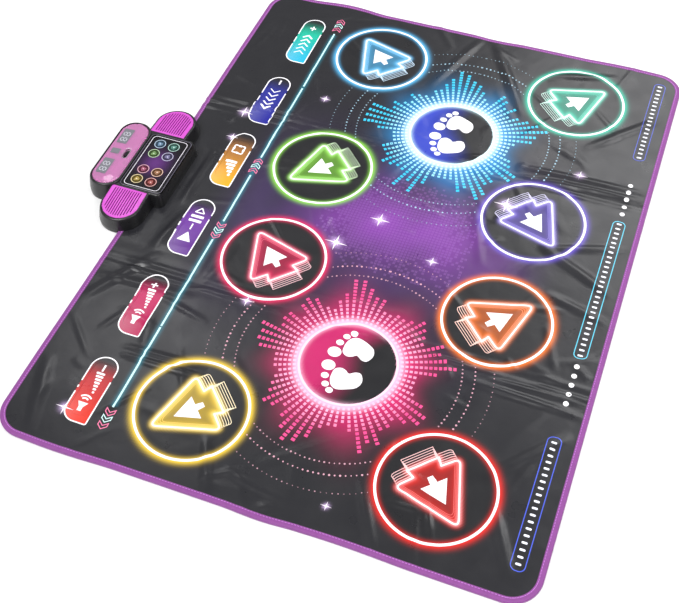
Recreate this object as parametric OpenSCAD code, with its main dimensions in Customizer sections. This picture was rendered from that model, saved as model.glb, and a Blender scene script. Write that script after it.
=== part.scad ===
// Two-player dance mat with a control box clamped to its rear edge.
// Origin: the middle of the mat's underside. +X is the players' right, +Y runs to the control box, +Z is up.

/* [Mat] */
// Length of the mat, left to right
mat_length = 1200; // [1160:10:1400]
// Width of the mat, front to back
mat_width = 900; // [880:10:1000]
// Corner radius of the mat
mat_corner_r = 50; // [20:1:80]
// Distance from the middle to each fold crease
crease_x = 218; // [216:0.5:222]
// Gap between two panels along a crease
crease_gap = 0.6; // [0.4:0.1:1]
// Width of the edge binding on the mat's top and underside
binding_w = 10; // [6:0.5:14]
// Thickness of the edge binding's outer wall
binding_wall = 0.8; // [0.6:0.1:1.5]

/* [Layers] */
// Thickness of the non-slip base, and of the binding's lower lip beside it
base_t = 0.4; // [0.3:0.1:1]
// Thickness of the cushion foam
cushion_t = 3; // [2:0.5:5]
// Thickness of each printed circuit film
film_t = 0.25; // [0.2:0.05:0.4]
// Thickness of the spacer foam that keeps the two films apart
spacer_t = 2; // [1.9:0.1:3]
// Thickness of the printed top sheet
sheet_t = 0.4; // [0.3:0.1:0.8]
// Thickness of the binding's upper lip
lip_t = 0.4; // [0.3:0.1:0.6]

/* [Pads and buttons] */
// Radius of a step pad's moving disc
pad_r = 91.7; // [80:0.1:92]
// Distance from the middle to the outer pads' centres
pad_outer_x = 460; // [440:1:470]
// Distance from the middle to the inner pads' centres
pad_inner_x = 121; // [110:1:122]
// Y of the rear row of pads
pad_rear_y = 154; // [130:1:170]
// Y of the front row of pads
pad_front_y = -259; // [-280:1:-240]
// Length of a button's moving zone
button_l = 104; // [90:1:104]
// Width of a button's moving zone
button_w = 36; // [30:1:40]
// Y of the row of buttons
button_y = 326; // [310:1:330]
// Gap round each moving zone
zone_gap = 0.3; // [0.3:0.05:0.6]

/* [Control box] */
// Length of the speaker body, end to end
pod_length = 316; // [310:1:330]
// Depth of the speaker body
pod_depth = 88; // [86:1:92]
// Height of the central block's top face
block_top = 36; // [36:0.5:40]
// Height of the display housing's rim
display_top = 40; // [40:0.5:44]
// Wall thickness of the housings
wall = 2.2; // [1.8:0.1:2.5]
// Height of the joint between the two housings
split_z = 10; // [9.5:0.5:11]
// Slope of each speaker grille, in degrees
grille_tilt = 3.76; // [3:0.02:4]
// Number of slots in a speaker grille
grille_slots = 12; // [8:1:13]

/* [Hidden] */

$fn = 64;
slip = 0.3;      // room between a sliding piece and what guides it
snug = 0.1;      // room between a screw and its hole

// Heights of the layers' undersides
cushion_z = base_t;
lower_film_z = cushion_z + cushion_t;
spacer_z = lower_film_z + film_t;
upper_film_z = spacer_z + spacer_t;
sheet_z = upper_film_z + film_t;
lip_z = sheet_z + sheet_t;

// Panels of the mat: the left wing, the centre and the right wing
LEFT = -1;
CENTRE = 0;
RIGHT = 1;

// Step pads: centre x, centre y
P1_UP_LEFT = [-pad_outer_x, pad_rear_y];
P1_UP_RIGHT = [-pad_inner_x, pad_rear_y];
P1_DOWN_LEFT = [-pad_outer_x, pad_front_y];
P1_DOWN_RIGHT = [-pad_inner_x, pad_front_y];
P2_UP_LEFT = [pad_inner_x, pad_rear_y];
P2_UP_RIGHT = [pad_outer_x, pad_rear_y];
P2_DOWN_LEFT = [pad_inner_x, pad_front_y];
P2_DOWN_RIGHT = [pad_outer_x, pad_front_y];
PADS = [
    P1_UP_LEFT, P1_UP_RIGHT, P1_DOWN_LEFT, P1_DOWN_RIGHT,
    P2_UP_LEFT, P2_UP_RIGHT, P2_DOWN_LEFT, P2_DOWN_RIGHT
];

// Button zones: centre x, centre y. The slower-speed zone stays clear of the right crease.
VOLUME_DOWN = [-480, button_y];
VOLUME_UP = [-293, button_y];
START_PAUSE = [-101, button_y];
LEVEL = [84, button_y];
SPEED_DOWN = [278, button_y];
SPEED_UP = [462, button_y];
BUTTONS = [VOLUME_DOWN, VOLUME_UP, START_PAUSE, LEVEL, SPEED_DOWN, SPEED_UP];
button_r = 12;

// Control box: places in plan
pod_y = 460.5;
block_l = 162;
block_w = 107;
block_y = 450.5;
display_l = 184;
display_w = 72;
display_y = 520;
panel_l = 146;
panel_w = 87;
panel_y = 444.5;
panel_t = 2;
window_l = 168;
window_w = 57;
window_t = 2.2;
grille_x = 84;
grille_l = 66;
grille_w = 74;
grille_t = 2;
slope_x = 82;
speaker_x = 115;
floor_z = 2;
front_z = 7;
mat_edge_gap = 1.5;
indicator_xs = [-49, -22, 22, 49];
indicator_ys = [432, 461];

// Control box: what is inside
clamp_x = [-130, -60, 60, 130];
clamp_y = 430;
pod_screw_at = [[-141, 484], [141, 484]];
display_screw_at = [[-74, 540], [74, 540]];
housing_screw_at = concat(pod_screw_at, display_screw_at);
pod_post_h = 21.5;
display_post_h = 28;
board_post_h = 6;
block_r = 12;
display_r = 34;
panel_seat_r = 10;
panel_opening = [116, 56, 446];     // length, width and Y of the hole under the indicator panel
display_opening = [136, 44, 523];   // the same, under the display window
grille_ledge = 7;                   // width of the ledge that a grille sits on
board_screw_at = [[-64, 413], [64, 413], [-64, 480], [64, 480]];
board_z = 25;
board_t = 1.6;
display_board_z = 30;
tail_y = 434;
tail_w = 40;
tail_t = 0.3;
screw_r = 1.5;
switch_y = 508;
slot_l = 24;
slot_w = 8.4;
knob_l = 12.5;
knob_w = 7;
cell_r = 7.25;
cell_l = 50.5;
bay_l = 109;
bay_w = 34;
bay_y = 516;
bay_top = 20;
door_l = 112;
door_front_y = 496;
door_t = 1.9;
feet_at = [[-125, 470], [125, 470], [-82, 522], [82, 522]];
foot_r = 6;

// ---- Plain shapes ----

module rounded_rect(l, w, r) {
    square([l - 2 * r, w], center = true);
    square([l, w - 2 * r], center = true);
    for (sx = [-1, 1], sy = [-1, 1])
        translate([sx * (l / 2 - r), sy * (w / 2 - r)]) circle(r);
}

module slab(z, t) translate([0, 0, z]) linear_extrude(t) children();

module hole_at(at, z, h, r) translate([at[0], at[1], z]) cylinder(r = r, h = h);

// ---- Mat: outline, panels and layers ----

module mat_outline(inset)
    rounded_rect(mat_length - 2 * inset, mat_width - 2 * inset, mat_corner_r - inset, $fn = 96);

module panel_area(panel) {
    half = crease_x - crease_gap / 2;
    if (panel == CENTRE) square([2 * half, mat_width + 2], center = true);
    else translate([panel * (crease_x + crease_gap / 2 + mat_length / 2), 0])
        square([mat_length, mat_width + 2], center = true);
}

function on_panel(at, panel) =
    panel == CENTRE ? abs(at[0]) < crease_x : sign(at[0]) == panel && abs(at[0]) > crease_x;

module pad_shape(grow) circle(pad_r + grow, $fn = 128);

module button_shape(grow) rounded_rect(button_l + 2 * grow, button_w + 2 * grow, button_r + grow);

// Openings for the moving zones that lie on one panel
module zone_holes(panel) {
    for (at = PADS) if (on_panel(at, panel)) translate(at) pad_shape(zone_gap);
    for (at = BUTTONS) if (on_panel(at, panel)) translate(at) button_shape(zone_gap);
}

// Holes that the control box's screws and flex tail need in the centre panel
module box_holes(panel, with_slot) {
    if (panel == CENTRE) {
        for (x = clamp_x) translate([x, clamp_y]) circle(screw_r + snug);
        if (with_slot) translate([0, tail_y]) square([tail_w + 2, tail_t + 1], center = true);
    }
}

module mat_layer(panel, z, t, inset, with_zones, with_slot) {
    slab(z, t) difference() {
        intersection() {
            mat_outline(inset);
            panel_area(panel);
        }
        if (with_zones) zone_holes(panel);
        box_holes(panel, with_slot);
    }
}

module nonslip_base(panel) color("dimgray") slab(0, base_t) intersection() {
    mat_outline(binding_w);
    panel_area(panel);
}

module cushion_foam(panel) color("gainsboro") difference() {
    mat_layer(panel, cushion_z, cushion_t, binding_wall, false, false);
    if (panel == CENTRE) clamp_plate_body(slip);
}

module lower_film(panel) color("lightsteelblue")
    mat_layer(panel, lower_film_z, film_t, binding_wall, false, false);

module spacer_foam(panel) color("whitesmoke")
    mat_layer(panel, spacer_z, spacer_t, binding_wall, true, true);

module upper_film(panel) color("lightblue")
    mat_layer(panel, upper_film_z, film_t, binding_wall, true, true);

module printed_sheet(panel) color("darkslategray")
    mat_layer(panel, sheet_z, sheet_t, binding_wall, true, true);

module binding_ring(z, t, width, panel) slab(z, t) intersection() {
    difference() {
        mat_outline(0);
        mat_outline(width);
    }
    panel_area(panel);
}

module edge_binding(panel) color("mediumorchid") {
    binding_ring(0, base_t, binding_w, panel);
    binding_ring(base_t, lip_z - base_t, binding_wall, panel);
    binding_ring(lip_z, lip_t, binding_w, panel);
}

module nonslip_base_left() nonslip_base(LEFT);
module nonslip_base_centre() nonslip_base(CENTRE);
module nonslip_base_right() nonslip_base(RIGHT);
module cushion_foam_left() cushion_foam(LEFT);
module cushion_foam_centre() cushion_foam(CENTRE);
module cushion_foam_right() cushion_foam(RIGHT);
module lower_film_left() lower_film(LEFT);
module lower_film_centre() lower_film(CENTRE);
module lower_film_right() lower_film(RIGHT);
module spacer_foam_left() spacer_foam(LEFT);
module spacer_foam_centre() spacer_foam(CENTRE);
module spacer_foam_right() spacer_foam(RIGHT);
module upper_film_left() upper_film(LEFT);
module upper_film_centre() upper_film(CENTRE);
module upper_film_right() upper_film(RIGHT);
module printed_sheet_left() printed_sheet(LEFT);
module printed_sheet_centre() printed_sheet(CENTRE);
module printed_sheet_right() printed_sheet(RIGHT);
module edge_binding_left() edge_binding(LEFT);
module edge_binding_centre() edge_binding(CENTRE);
module edge_binding_right() edge_binding(RIGHT);

// ---- Step pads and buttons: the part of the upper film and printed sheet that a foot pushes down ----

module pad(at) translate(at) slab(upper_film_z, lip_z - upper_film_z) pad_shape(0);

module button(at) translate(at) slab(upper_film_z, lip_z - upper_film_z) button_shape(0);

module p1_up_left_pad() color("gold") pad(P1_UP_LEFT);
module p1_up_right_pad() color("crimson") pad(P1_UP_RIGHT);
module p1_down_left_pad() color("red") pad(P1_DOWN_LEFT);
module p1_down_right_pad() color("darkorange") pad(P1_DOWN_RIGHT);
module p2_up_left_pad() color("yellowgreen") pad(P2_UP_LEFT);
module p2_up_right_pad() color("skyblue") pad(P2_UP_RIGHT);
module p2_down_left_pad() color("slateblue") pad(P2_DOWN_LEFT);
module p2_down_right_pad() color("turquoise") pad(P2_DOWN_RIGHT);
module volume_down_button() color("red") button(VOLUME_DOWN);
module volume_up_button() color("mediumvioletred") button(VOLUME_UP);
module start_pause_button() color("rebeccapurple") button(START_PAUSE);
module level_button() color("gold") button(LEVEL);
module speed_down_button() color("navy") button(SPEED_DOWN);
module speed_up_button() color("turquoise") button(SPEED_UP);

// ---- Control box: outlines shared by the two housings ----

module pod_outline(inset) translate([0, pod_y])
    rounded_rect(pod_length - 2 * inset, pod_depth - 2 * inset, pod_depth / 2 - 1 - inset);

module block_outline(inset) translate([0, block_y])
    rounded_rect(block_l - 2 * inset, block_w - 2 * inset, block_r - inset);

module display_outline(inset) translate([0, display_y])
    rounded_rect(display_l - 2 * inset, display_w - 2 * inset, display_r - inset);

module box_outline(inset) {
    pod_outline(inset);
    block_outline(inset);
    display_outline(inset);
}

// Moves its children onto the sloping top of one speaker pod, with z = 0 on the surface
module on_slope(side) mirror([side < 0 ? 1 : 0, 0, 0])
    translate([slope_x, 0, block_top]) rotate([0, grille_tilt, 0]) children();

// The speaker body from the joint up to its two sloping tops, lowered by drop
module pod_solid(inset, drop) difference() {
    slab(split_z, block_top - split_z - drop) pod_outline(inset);
    for (side = [-1, 1]) on_slope(side)
        translate([-1, pod_y - pod_depth, -drop]) cube([pod_length, 2 * pod_depth, block_top]);
}

// The D-shaped outline of a grille: flat towards the middle, round at the outer end
module grille_outline(inset) {
    r = grille_w / 2 - inset;
    translate([grille_x - slope_x + inset, -r]) square([grille_l - grille_w / 2 - inset, 2 * r]);
    translate([grille_x - slope_x + grille_l - grille_w / 2, 0]) circle(r);
}

module at_grille(side) on_slope(side) translate([0, pod_y, 0]) children();

module screw_posts(places, z, h, r, bore_r)
    for (at = places) difference() {
        hole_at(at, z, h, r);
        hole_at(at, z - 1, h, bore_r);
    }

module top_housing() color("#1c1c1e") {
    difference() {
        union() {
            pod_solid(0, 0);
            slab(split_z, block_top - split_z) block_outline(0);
            slab(split_z, display_top - split_z) display_outline(0);
        }
        pod_solid(wall, wall);
        slab(split_z - 1, block_top - panel_t - wall - split_z + 1) block_outline(wall);
        slab(split_z - 1, display_top - window_t - wall - split_z + 1) display_outline(wall);
        slab(split_z - 1, 2) box_outline(wall);
        // Seats and openings for the indicator panel, the display window and the grilles
        slab(block_top - panel_t, 9) translate([0, panel_y])
            rounded_rect(panel_l, panel_w, panel_seat_r);
        slab(split_z, display_top) translate([0, panel_opening[2]])
            rounded_rect(panel_opening[0], panel_opening[1], 6);
        slab(display_top - window_t, 9) translate([0, display_y])
            rounded_rect(window_l, window_w, window_w / 2 - 1);
        slab(split_z, display_top) translate([0, display_opening[2]])
            rounded_rect(display_opening[0], display_opening[1], 10);
        for (side = [-1, 1]) at_grille(side) {
            slab(-grille_t, 9) grille_outline(0);
            slab(-20, 40) grille_outline(grille_ledge);
        }
    }
    post_z = split_z - 2;
    screw_posts(pod_screw_at, post_z, pod_post_h, 4, screw_r + snug);
    screw_posts(display_screw_at, post_z, display_post_h, 4, screw_r + snug);
    screw_posts(board_screw_at, board_z + board_t, board_post_h, 3.5, screw_r + snug);
}

module bottom_housing() color("#242426") difference() {
    union() {
        difference() {
            slab(floor_z, split_z - floor_z) box_outline(0);
            // Hollow tray behind the mat's edge, shallow tray over the mat
            slab(floor_z + wall, split_z) intersection() {
                box_outline(wall);
                translate([0, mat_width / 2 + mat_edge_gap + wall + 100]) square([400, 200], center = true);
            }
            slab(front_z + wall, split_z) box_outline(wall);
            translate([-200, 0, -1]) cube([400, mat_width / 2 + mat_edge_gap, front_z + 1]);
        }
        // Battery bay and the plate over the door's channel
        translate([-bay_l / 2 - wall, bay_y - bay_w / 2 - wall, floor_z])
            cube([bay_l + 2 * wall, bay_w + 2 * wall, bay_top + wall - floor_z]);
        slab(floor_z + wall, wall) intersection() {
            display_outline(0);
            translate([0, 600]) square([door_l + 10, 140], center = true);
        }
        for (x = clamp_x) hole_at([x, clamp_y], front_z, 9, 3.6);
        for (at = housing_screw_at) hole_at(at, floor_z, split_z - 2 - floor_z, 5);
    }
    // Room for the cells, the sliding door with its tongues, the tail and the screws
    translate([-bay_l / 2, bay_y - bay_w / 2, 0]) cube([bay_l, bay_w, bay_top]);
    door_body(slip, 60);
    translate([-tail_w / 2 - 2, tail_y - 1.5, 0]) cube([tail_w + 4, 3, 20]);
    for (x = clamp_x) hole_at([x, clamp_y], 0, 20, screw_r + snug);
    for (at = housing_screw_at) {
        hole_at(at, 0, 20, screw_r + snug);
        hole_at(at, 0, floor_z + 2.6, 3.2);
    }
}

// ---- Control box: how it holds the mat ----

module clamp_plate_body(grow) translate([-140 - grow, clamp_y - 8 - grow, cushion_z])
    cube([280 + 2 * grow, 16 + 2 * grow, 1.2 + grow]);

module clamp_plate() color("silver") difference() {
    clamp_plate_body(0);
    for (x = clamp_x) {
        hole_at([x, clamp_y], 0, 9, screw_r + snug);
        hole_at([x, clamp_y], 0, cushion_z + 0.7, 3.1);
    }
}

module screw(at, head_z, head_t, shank) {
    hole_at(at, head_z, head_t, 2.9);
    hole_at(at, head_z + head_t, shank, screw_r);
}

module clamp_screws() color("lightgray")
    for (x = clamp_x) screw([x, clamp_y], cushion_z + 0.1, 0.6, 13);

module housing_screws() color("lightgray")
    for (at = housing_screw_at) screw(at, floor_z + 0.8, 1.8, 14);

module board_screws() color("lightgray")
    for (at = board_screw_at) screw(at, board_z - 1.5, 1.5, 6);

// ---- Control box: display, indicators and electronics ----

module display_window() color("orchid", 0.8) difference() {
    slab(display_top - window_t, window_t) translate([0, display_y])
        rounded_rect(window_l - 0.4, window_w - 0.4, window_w / 2 - 1.2);
    slab(display_top - window_t - 1, 9) translate([0, switch_y]) rounded_rect(slot_l, slot_w, 3.5);
}

module display_modules() color("gray") difference() {
    union() {
        translate([-67, 500, display_board_z]) cube([134, 46, board_t]);
        for (x = [-42, 42]) translate([x - 20, 520, display_board_z]) cube([40, 22, 7.4]);
        translate([-7.5, 521, display_board_z]) cube([15, 20, 7.4]);
    }
    translate([-8.5, switch_y - 4.5, 0]) cube([17, 9, 60]);
}

module indicator_panel() color("#151518") slab(block_top - panel_t, panel_t)
    translate([0, panel_y]) rounded_rect(panel_l - 0.4, panel_w - 0.4, 9.8);

module indicator_leds() color("white") for (x = indicator_xs, y = indicator_ys) {
    hole_at([x, y], board_z + board_t, 4, 2.5);
    translate([x, y, board_z + board_t + 4]) intersection() {
        sphere(2.5);
        cylinder(r = 3, h = 3);
    }
}

module main_board() color("darkgreen") {
    difference() {
        translate([-70, 407, board_z]) cube([140, 79, board_t]);
        for (at = board_screw_at) hole_at(at, 0, 60, screw_r + snug);
    }
    // Tail connector and sound chip on the underside
    translate([-22, 424, board_z - 5]) cube([44, 6, 5]);
    translate([-8, 450, board_z - 1.6]) cube([16, 16, 1.6]);
}

// Film strip that rises from the mat's circuit films to the board's connector
module flex_tail() color("peru") {
    translate([-tail_w / 2, tail_y - tail_t / 2, spacer_z]) cube([tail_w, tail_t, 16.2]);
    translate([-tail_w / 2, 425, spacer_z + 16.2 - tail_t])
        cube([tail_w, tail_y - 425 - tail_t / 2, tail_t]);
}

// ---- Control box: speakers ----

module speaker_grille(side) color("orchid") at_grille(side) slab(-grille_t, grille_t) difference() {
    grille_outline(0.2);
    intersection() {
        grille_outline(11);
        union() for (i = [0 : grille_slots - 1])
            translate([0, (i - (grille_slots - 1) / 2) * 4.55 - 0.8]) square([grille_l, 1.6]);
    }
}

module speaker(side) color("#303033") translate([side * speaker_x, pod_y, 13]) rotate_extrude()
    polygon([[0, 0], [14, 0], [14, 6], [16, 6], [25, 12], [27, 12], [27, 13.5],
             [24, 13.5], [10, 8.5], [7, 10.5], [0, 11.5]]);

module speaker_grille_left() speaker_grille(-1);
module speaker_grille_right() speaker_grille(1);
module speaker_left() speaker(-1);
module speaker_right() speaker(1);

// ---- Control box: power switch and batteries ----

module switch_body() color("silver") difference() {
    translate([-8, switch_y - 4, display_board_z]) cube([16, 8, 6]);
    translate([-6.5, switch_y - 1.9, display_board_z + 4]) cube([13, 3.8, 9]);
}

module power_switch() color("#3a3a3c") {
    translate([-1.5, switch_y - 1.5, display_board_z + 4.4]) cube([3, 3, 4.6]);
    slab(display_top - 1.6, 2.2) translate([0, switch_y]) rounded_rect(knob_l, knob_w, 2.5);
}

// The door with its side tongues, grown by grow and lengthened rearwards by extra
module door_body(grow, extra) {
    translate([-door_l / 2 - grow, door_front_y - grow, floor_z - grow])
        cube([door_l + 2 * grow, 59.6 + grow + extra, door_t + 2 * grow]);
    translate([-door_l / 2 - 1.2 - grow, door_front_y + 6 - grow, floor_z + 0.8 - grow])
        cube([door_l + 2.4 + 2 * grow, 48 + grow + extra, 0.6 + 2 * grow]);
}

module battery_door() color("#2a2a2c") difference() {
    door_body(0, 0);
    for (i = [0 : 3]) translate([-15, 540 + 3 * i, floor_z - 1]) cube([30, 1.2, 1.6]);
}

module batteries() color("goldenrod") for (sx = [-1, 1], sy = [-1, 1])
    translate([sx < 0 ? -cell_l - 0.2 : 0.2, bay_y + sy * 7.6, 12.3]) rotate([0, 90, 0]) {
        cylinder(r = cell_r, h = cell_l - 1.2);
        cylinder(r = 2.7, h = cell_l);
    }

module battery_contacts() color("silver") for (sx = [-1, 1], sy = [-1, 1])
    translate([sx * 52.6, bay_y + sy * 7.6, 12.3]) rotate([0, sx * 90, 0]) {
        cylinder(r1 = 3.5, r2 = 5.5, h = 1.2, center = true);
        translate([-6, -6, 0.9]) cube([12, 12, 0.5]);
    }

module rubber_feet() color("#101010") for (at = feet_at) hole_at(at, 0, floor_z, foot_r);

nonslip_base_left();
nonslip_base_centre();
nonslip_base_right();
cushion_foam_left();
cushion_foam_centre();
cushion_foam_right();
lower_film_left();
lower_film_centre();
lower_film_right();
spacer_foam_left();
spacer_foam_centre();
spacer_foam_right();
upper_film_left();
upper_film_centre();
upper_film_right();
printed_sheet_left();
printed_sheet_centre();
printed_sheet_right();
edge_binding_left();
edge_binding_centre();
edge_binding_right();
p1_up_left_pad();
p1_up_right_pad();
p1_down_left_pad();
p1_down_right_pad();
p2_up_left_pad();
p2_up_right_pad();
p2_down_left_pad();
p2_down_right_pad();
volume_down_button();
volume_up_button();
start_pause_button();
level_button();
speed_down_button();
speed_up_button();
top_housing();
bottom_housing();
clamp_plate();
clamp_screws();
housing_screws();
display_window();
display_modules();
indicator_panel();
indicator_leds();
main_board();
board_screws();
flex_tail();
speaker_grille_left();
speaker_grille_right();
speaker_left();
speaker_right();
switch_body();
power_switch();
battery_door();
batteries();
battery_contacts();
rubber_feet();
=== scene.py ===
"""Looks of a two-player dance mat with a control box over its rear edge.

Sizes are in millimetres until a mesh is made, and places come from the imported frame. +X is the players'
right, +Y runs to the control box and +Z is up.
"""

import bpy
import numpy as np
from bpy.props import FloatProperty, FloatVectorProperty, IntProperty, PointerProperty
from mathutils import Matrix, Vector
from mathutils.geometry import delaunay_2d_cdt


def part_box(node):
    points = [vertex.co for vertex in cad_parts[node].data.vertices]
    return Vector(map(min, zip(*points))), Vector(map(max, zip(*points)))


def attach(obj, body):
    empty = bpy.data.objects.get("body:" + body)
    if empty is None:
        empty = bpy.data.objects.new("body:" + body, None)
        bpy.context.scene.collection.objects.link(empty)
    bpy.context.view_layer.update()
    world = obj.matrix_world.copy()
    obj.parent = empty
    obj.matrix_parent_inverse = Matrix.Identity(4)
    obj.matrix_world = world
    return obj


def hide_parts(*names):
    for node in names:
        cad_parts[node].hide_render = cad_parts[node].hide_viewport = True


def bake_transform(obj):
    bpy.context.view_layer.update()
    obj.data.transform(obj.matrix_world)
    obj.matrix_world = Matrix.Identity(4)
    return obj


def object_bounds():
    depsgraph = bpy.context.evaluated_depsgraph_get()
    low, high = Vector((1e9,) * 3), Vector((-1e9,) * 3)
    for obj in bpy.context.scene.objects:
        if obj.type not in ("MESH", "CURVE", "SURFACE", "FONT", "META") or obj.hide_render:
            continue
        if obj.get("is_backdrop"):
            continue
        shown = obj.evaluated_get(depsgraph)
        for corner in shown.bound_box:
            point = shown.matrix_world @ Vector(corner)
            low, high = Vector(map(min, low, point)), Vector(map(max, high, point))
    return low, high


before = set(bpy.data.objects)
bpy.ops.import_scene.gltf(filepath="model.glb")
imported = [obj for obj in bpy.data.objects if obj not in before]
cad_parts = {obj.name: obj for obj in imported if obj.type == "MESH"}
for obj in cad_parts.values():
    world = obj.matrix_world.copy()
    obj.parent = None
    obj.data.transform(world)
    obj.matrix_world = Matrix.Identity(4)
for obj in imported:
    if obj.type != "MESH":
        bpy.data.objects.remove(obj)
CAD_BOX = [list(corner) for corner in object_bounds()]

bl_info = {
    "name": "Dance rhythm machine",
    "version": (1, 0, 0),
    "blender": (4, 5, 0),
    "location": "3D View > Sidebar > Dance mat",
    "description": "Builds the printed mat and the control box around their packed frame",
    "category": "Object",
}


# Colours, spans and the bodies


def linear(colour):
    """Linear RGB of an sRGB hex colour: c / 12.92 up to 0.04045, and ((c + 0.055) / 1.055) ^ 2.4 above."""
    parts = np.array([int(colour[i : i + 2], 16) / 255 for i in (1, 3, 5)])
    return np.where(parts <= 0.04045, parts / 12.92, ((parts + 0.055) / 1.055) ** 2.4)


def rgba(colour):
    """The hex colour as the four numbers of a colour socket."""
    return (*linear(colour), 1.0)


def span(node):
    """Lowest and highest corner of a CAD node, in mm."""
    return [np.array(corner) * 1000 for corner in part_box(node)]


def middle(node):
    """Centre of a CAD node's box seen from above, in mm."""
    low, high = span(node)
    return (low[:2] + high[:2]) / 2


ROOT = "control_box_and_centre_panel"
SIDES = {-1: "left", 1: "right"}

# The mat: its half sizes, the height of its printed face, and the fold lines' distance from the middle
MAT_X, MAT_Y, MAT_TOP = span("edge_binding_right")[1]
SHEET_TOP = span("printed_sheet_right")[1][2]
CREASE = (span("printed_sheet_centre")[1][0] + span("printed_sheet_right")[0][0]) / 2
MAT_CORNER = 50.0
BINDING_W = 10.0
ZONE_GAP = 0.3  # slit round each moving zone
PAD_R = (span("p1_up_left_pad")[1][0] - span("p1_up_left_pad")[0][0]) / 2
BUTTON_R = 12.0
GRID = 4.0  # spacing of the points on the mat's printed face
LAYER_GRID = 9.0  # and on the layers under it

# Each step pad: its hue and the way its arrow points, in degrees from +X
PADS = {
    "p1_up_left_pad": ("#FCD440", 135),
    "p1_up_right_pad": ("#E0245C", 45),
    "p1_down_left_pad": ("#EA2A22", 225),
    "p1_down_right_pad": ("#F57A28", 315),
    "p2_up_left_pad": ("#90DA4C", 135),
    "p2_up_right_pad": ("#5CBCF0", 45),
    "p2_down_left_pad": ("#6A55C4", 225),
    "p2_down_right_pad": ("#12BFA0", 315),
}

# Each button: its printed frame's reach past the moving zone at the left and right, and its two hues
BUTTONS = {
    "volume_down_button": (15, 14, "#D8301A", "#B01C24"),
    "volume_up_button": (17, 16, "#A8144E", "#B41A58"),
    "start_pause_button": (18, 18, "#5A2684", "#6E3A98"),
    "level_button": (22, 22, "#EFA81A", "#A06A34"),
    "speed_down_button": (33, 7, "#1E2090", "#2A2E8C"),
    "speed_up_button": (20, 21, "#22B0D4", "#1FB496"),
}
FRAME_H = 50.0  # height of a button's printed frame

# The two foot circles: centre, rim hue, block hue near the rim, block hue far out and the fill's hue
FEET = (
    ((-290, -52), "#F01E78", "#FFC4E0", "#EE4C8C", "#D0246E"),
    ((290, -52), "#12A0EC", "#D8FBFF", "#38C4EE", "#3A4CC8"),
)
FOOT_R = 81.5

# The print's other inks
VINYL = "#222226"
WHITE_INK = "#FDFBFF"
PAD_BLACK = "#1D1D20"  # inside a pad's ring
FOOT_BLACK = "#1B1B1E"  # in a foot circle
CLOUD_EDGE = "#43305E"
CLOUD_CELL = "#C08AE0"
LINE_INK, LINE_GLOW = "#C8F4F8", "#2C93A8"
STAR_INK, STAR_GLOW = "#FFF6FF", "#E9C8FF"
DASH_INK = "#EFF2FF"
CHEVRON_INKS = {-1: "#F07CA4", 0: "#CFF4F2", 1: "#F07CA4"}  # the middle one is pale

# Widths of the printed lines
LINE_W = 3.4
FINE_W = 1.5  # chevrons and capsules
OUTLINE_W = 2.3  # round a button
ARROW_W = 3.1


# Sizes and colours that a user would change


class MatLook(bpy.types.PropertyGroup):
    """The mat's cloth and print."""

    swell: FloatProperty(name="Swell", description="Height of the long swells, in mm", default=2.4, min=0)
    wrinkle: FloatProperty(name="Wrinkles", description="Height of the wrinkles, as a share", default=1.0, min=0)
    ring: FloatProperty(name="Ring width", description="Width of a pad's white ring, in mm", default=4.4, min=1)
    glow: FloatProperty(name="Glow reach", description="Reach of a ring's glow, in mm", default=7.5, min=1)
    rays: IntProperty(name="Rays", description="Rays round each foot circle", default=68, min=12)
    binding: FloatVectorProperty(
        name="Binding", description="Colour of the edge binding", subtype="COLOR", default=linear("#843F8A")
    )
    nebula: FloatVectorProperty(
        name="Nebula", description="Colour of the cloud in the middle", subtype="COLOR", default=linear("#7E3A9C")
    )


class BoxLook(bpy.types.PropertyGroup):
    """The control box."""

    draft: FloatProperty(name="Draft", description="How far the walls lean in, in mm", default=4.0, min=0)
    plastic: FloatVectorProperty(
        name="Plastic", description="Colour of the housings", subtype="COLOR", default=linear("#1B1B1D")
    )
    grille: FloatVectorProperty(
        name="Grilles", description="Colour of the speaker grilles", subtype="COLOR", default=linear("#CC50C4")
    )
    window: FloatVectorProperty(
        name="Window", description="Colour of the display window", subtype="COLOR", default=linear("#EDA4DA")
    )


class StageLook(bpy.types.PropertyGroup):
    """The floor, the lights and the camera."""

    floor: FloatVectorProperty(
        name="Floor", description="Colour of the floor", subtype="COLOR", default=linear("#F4F4F4")
    )
    key: FloatProperty(name="Key light", description="Power of the key light, in watts", default=40, min=0)
    lens: FloatProperty(name="Lens", description="Focal length", subtype="DISTANCE_CAMERA", default=57.48)


def look(group):
    """The scene's settings of one group."""
    return getattr(bpy.context.scene, group)


# Flat patches: points (n, 2), faces (arrays of equal polygons, counter-clockwise) and rim edges with the
# patch on their left


def facing(directions):
    """Unit vectors at these angles, in degrees."""
    angles = np.radians(directions)
    return np.stack([np.cos(angles), np.sin(angles)], -1)


def turned(points, degrees):
    """Points turned about the origin."""
    along, across = facing(degrees), facing(degrees + 90)
    return points[..., :1] * along + points[..., 1:] * across


def rounded(centre, length, width, radii, steps=12):
    """Counter-clockwise outline of a rectangle with an arc at each corner, from the +X +Y corner on."""
    radii = np.broadcast_to(np.asarray(radii, float), 4)
    half = np.array([length, width]) / 2
    signs = np.array([[1, 1], [-1, 1], [-1, -1], [1, -1]])
    sweep = np.arange(4)[:, None] * 90 + np.linspace(0, 90, steps)
    arcs = (signs * (half - radii[:, None]))[:, None] + radii[:, None, None] * facing(sweep)
    return np.asarray(centre) + arcs.reshape(-1, 2)


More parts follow.
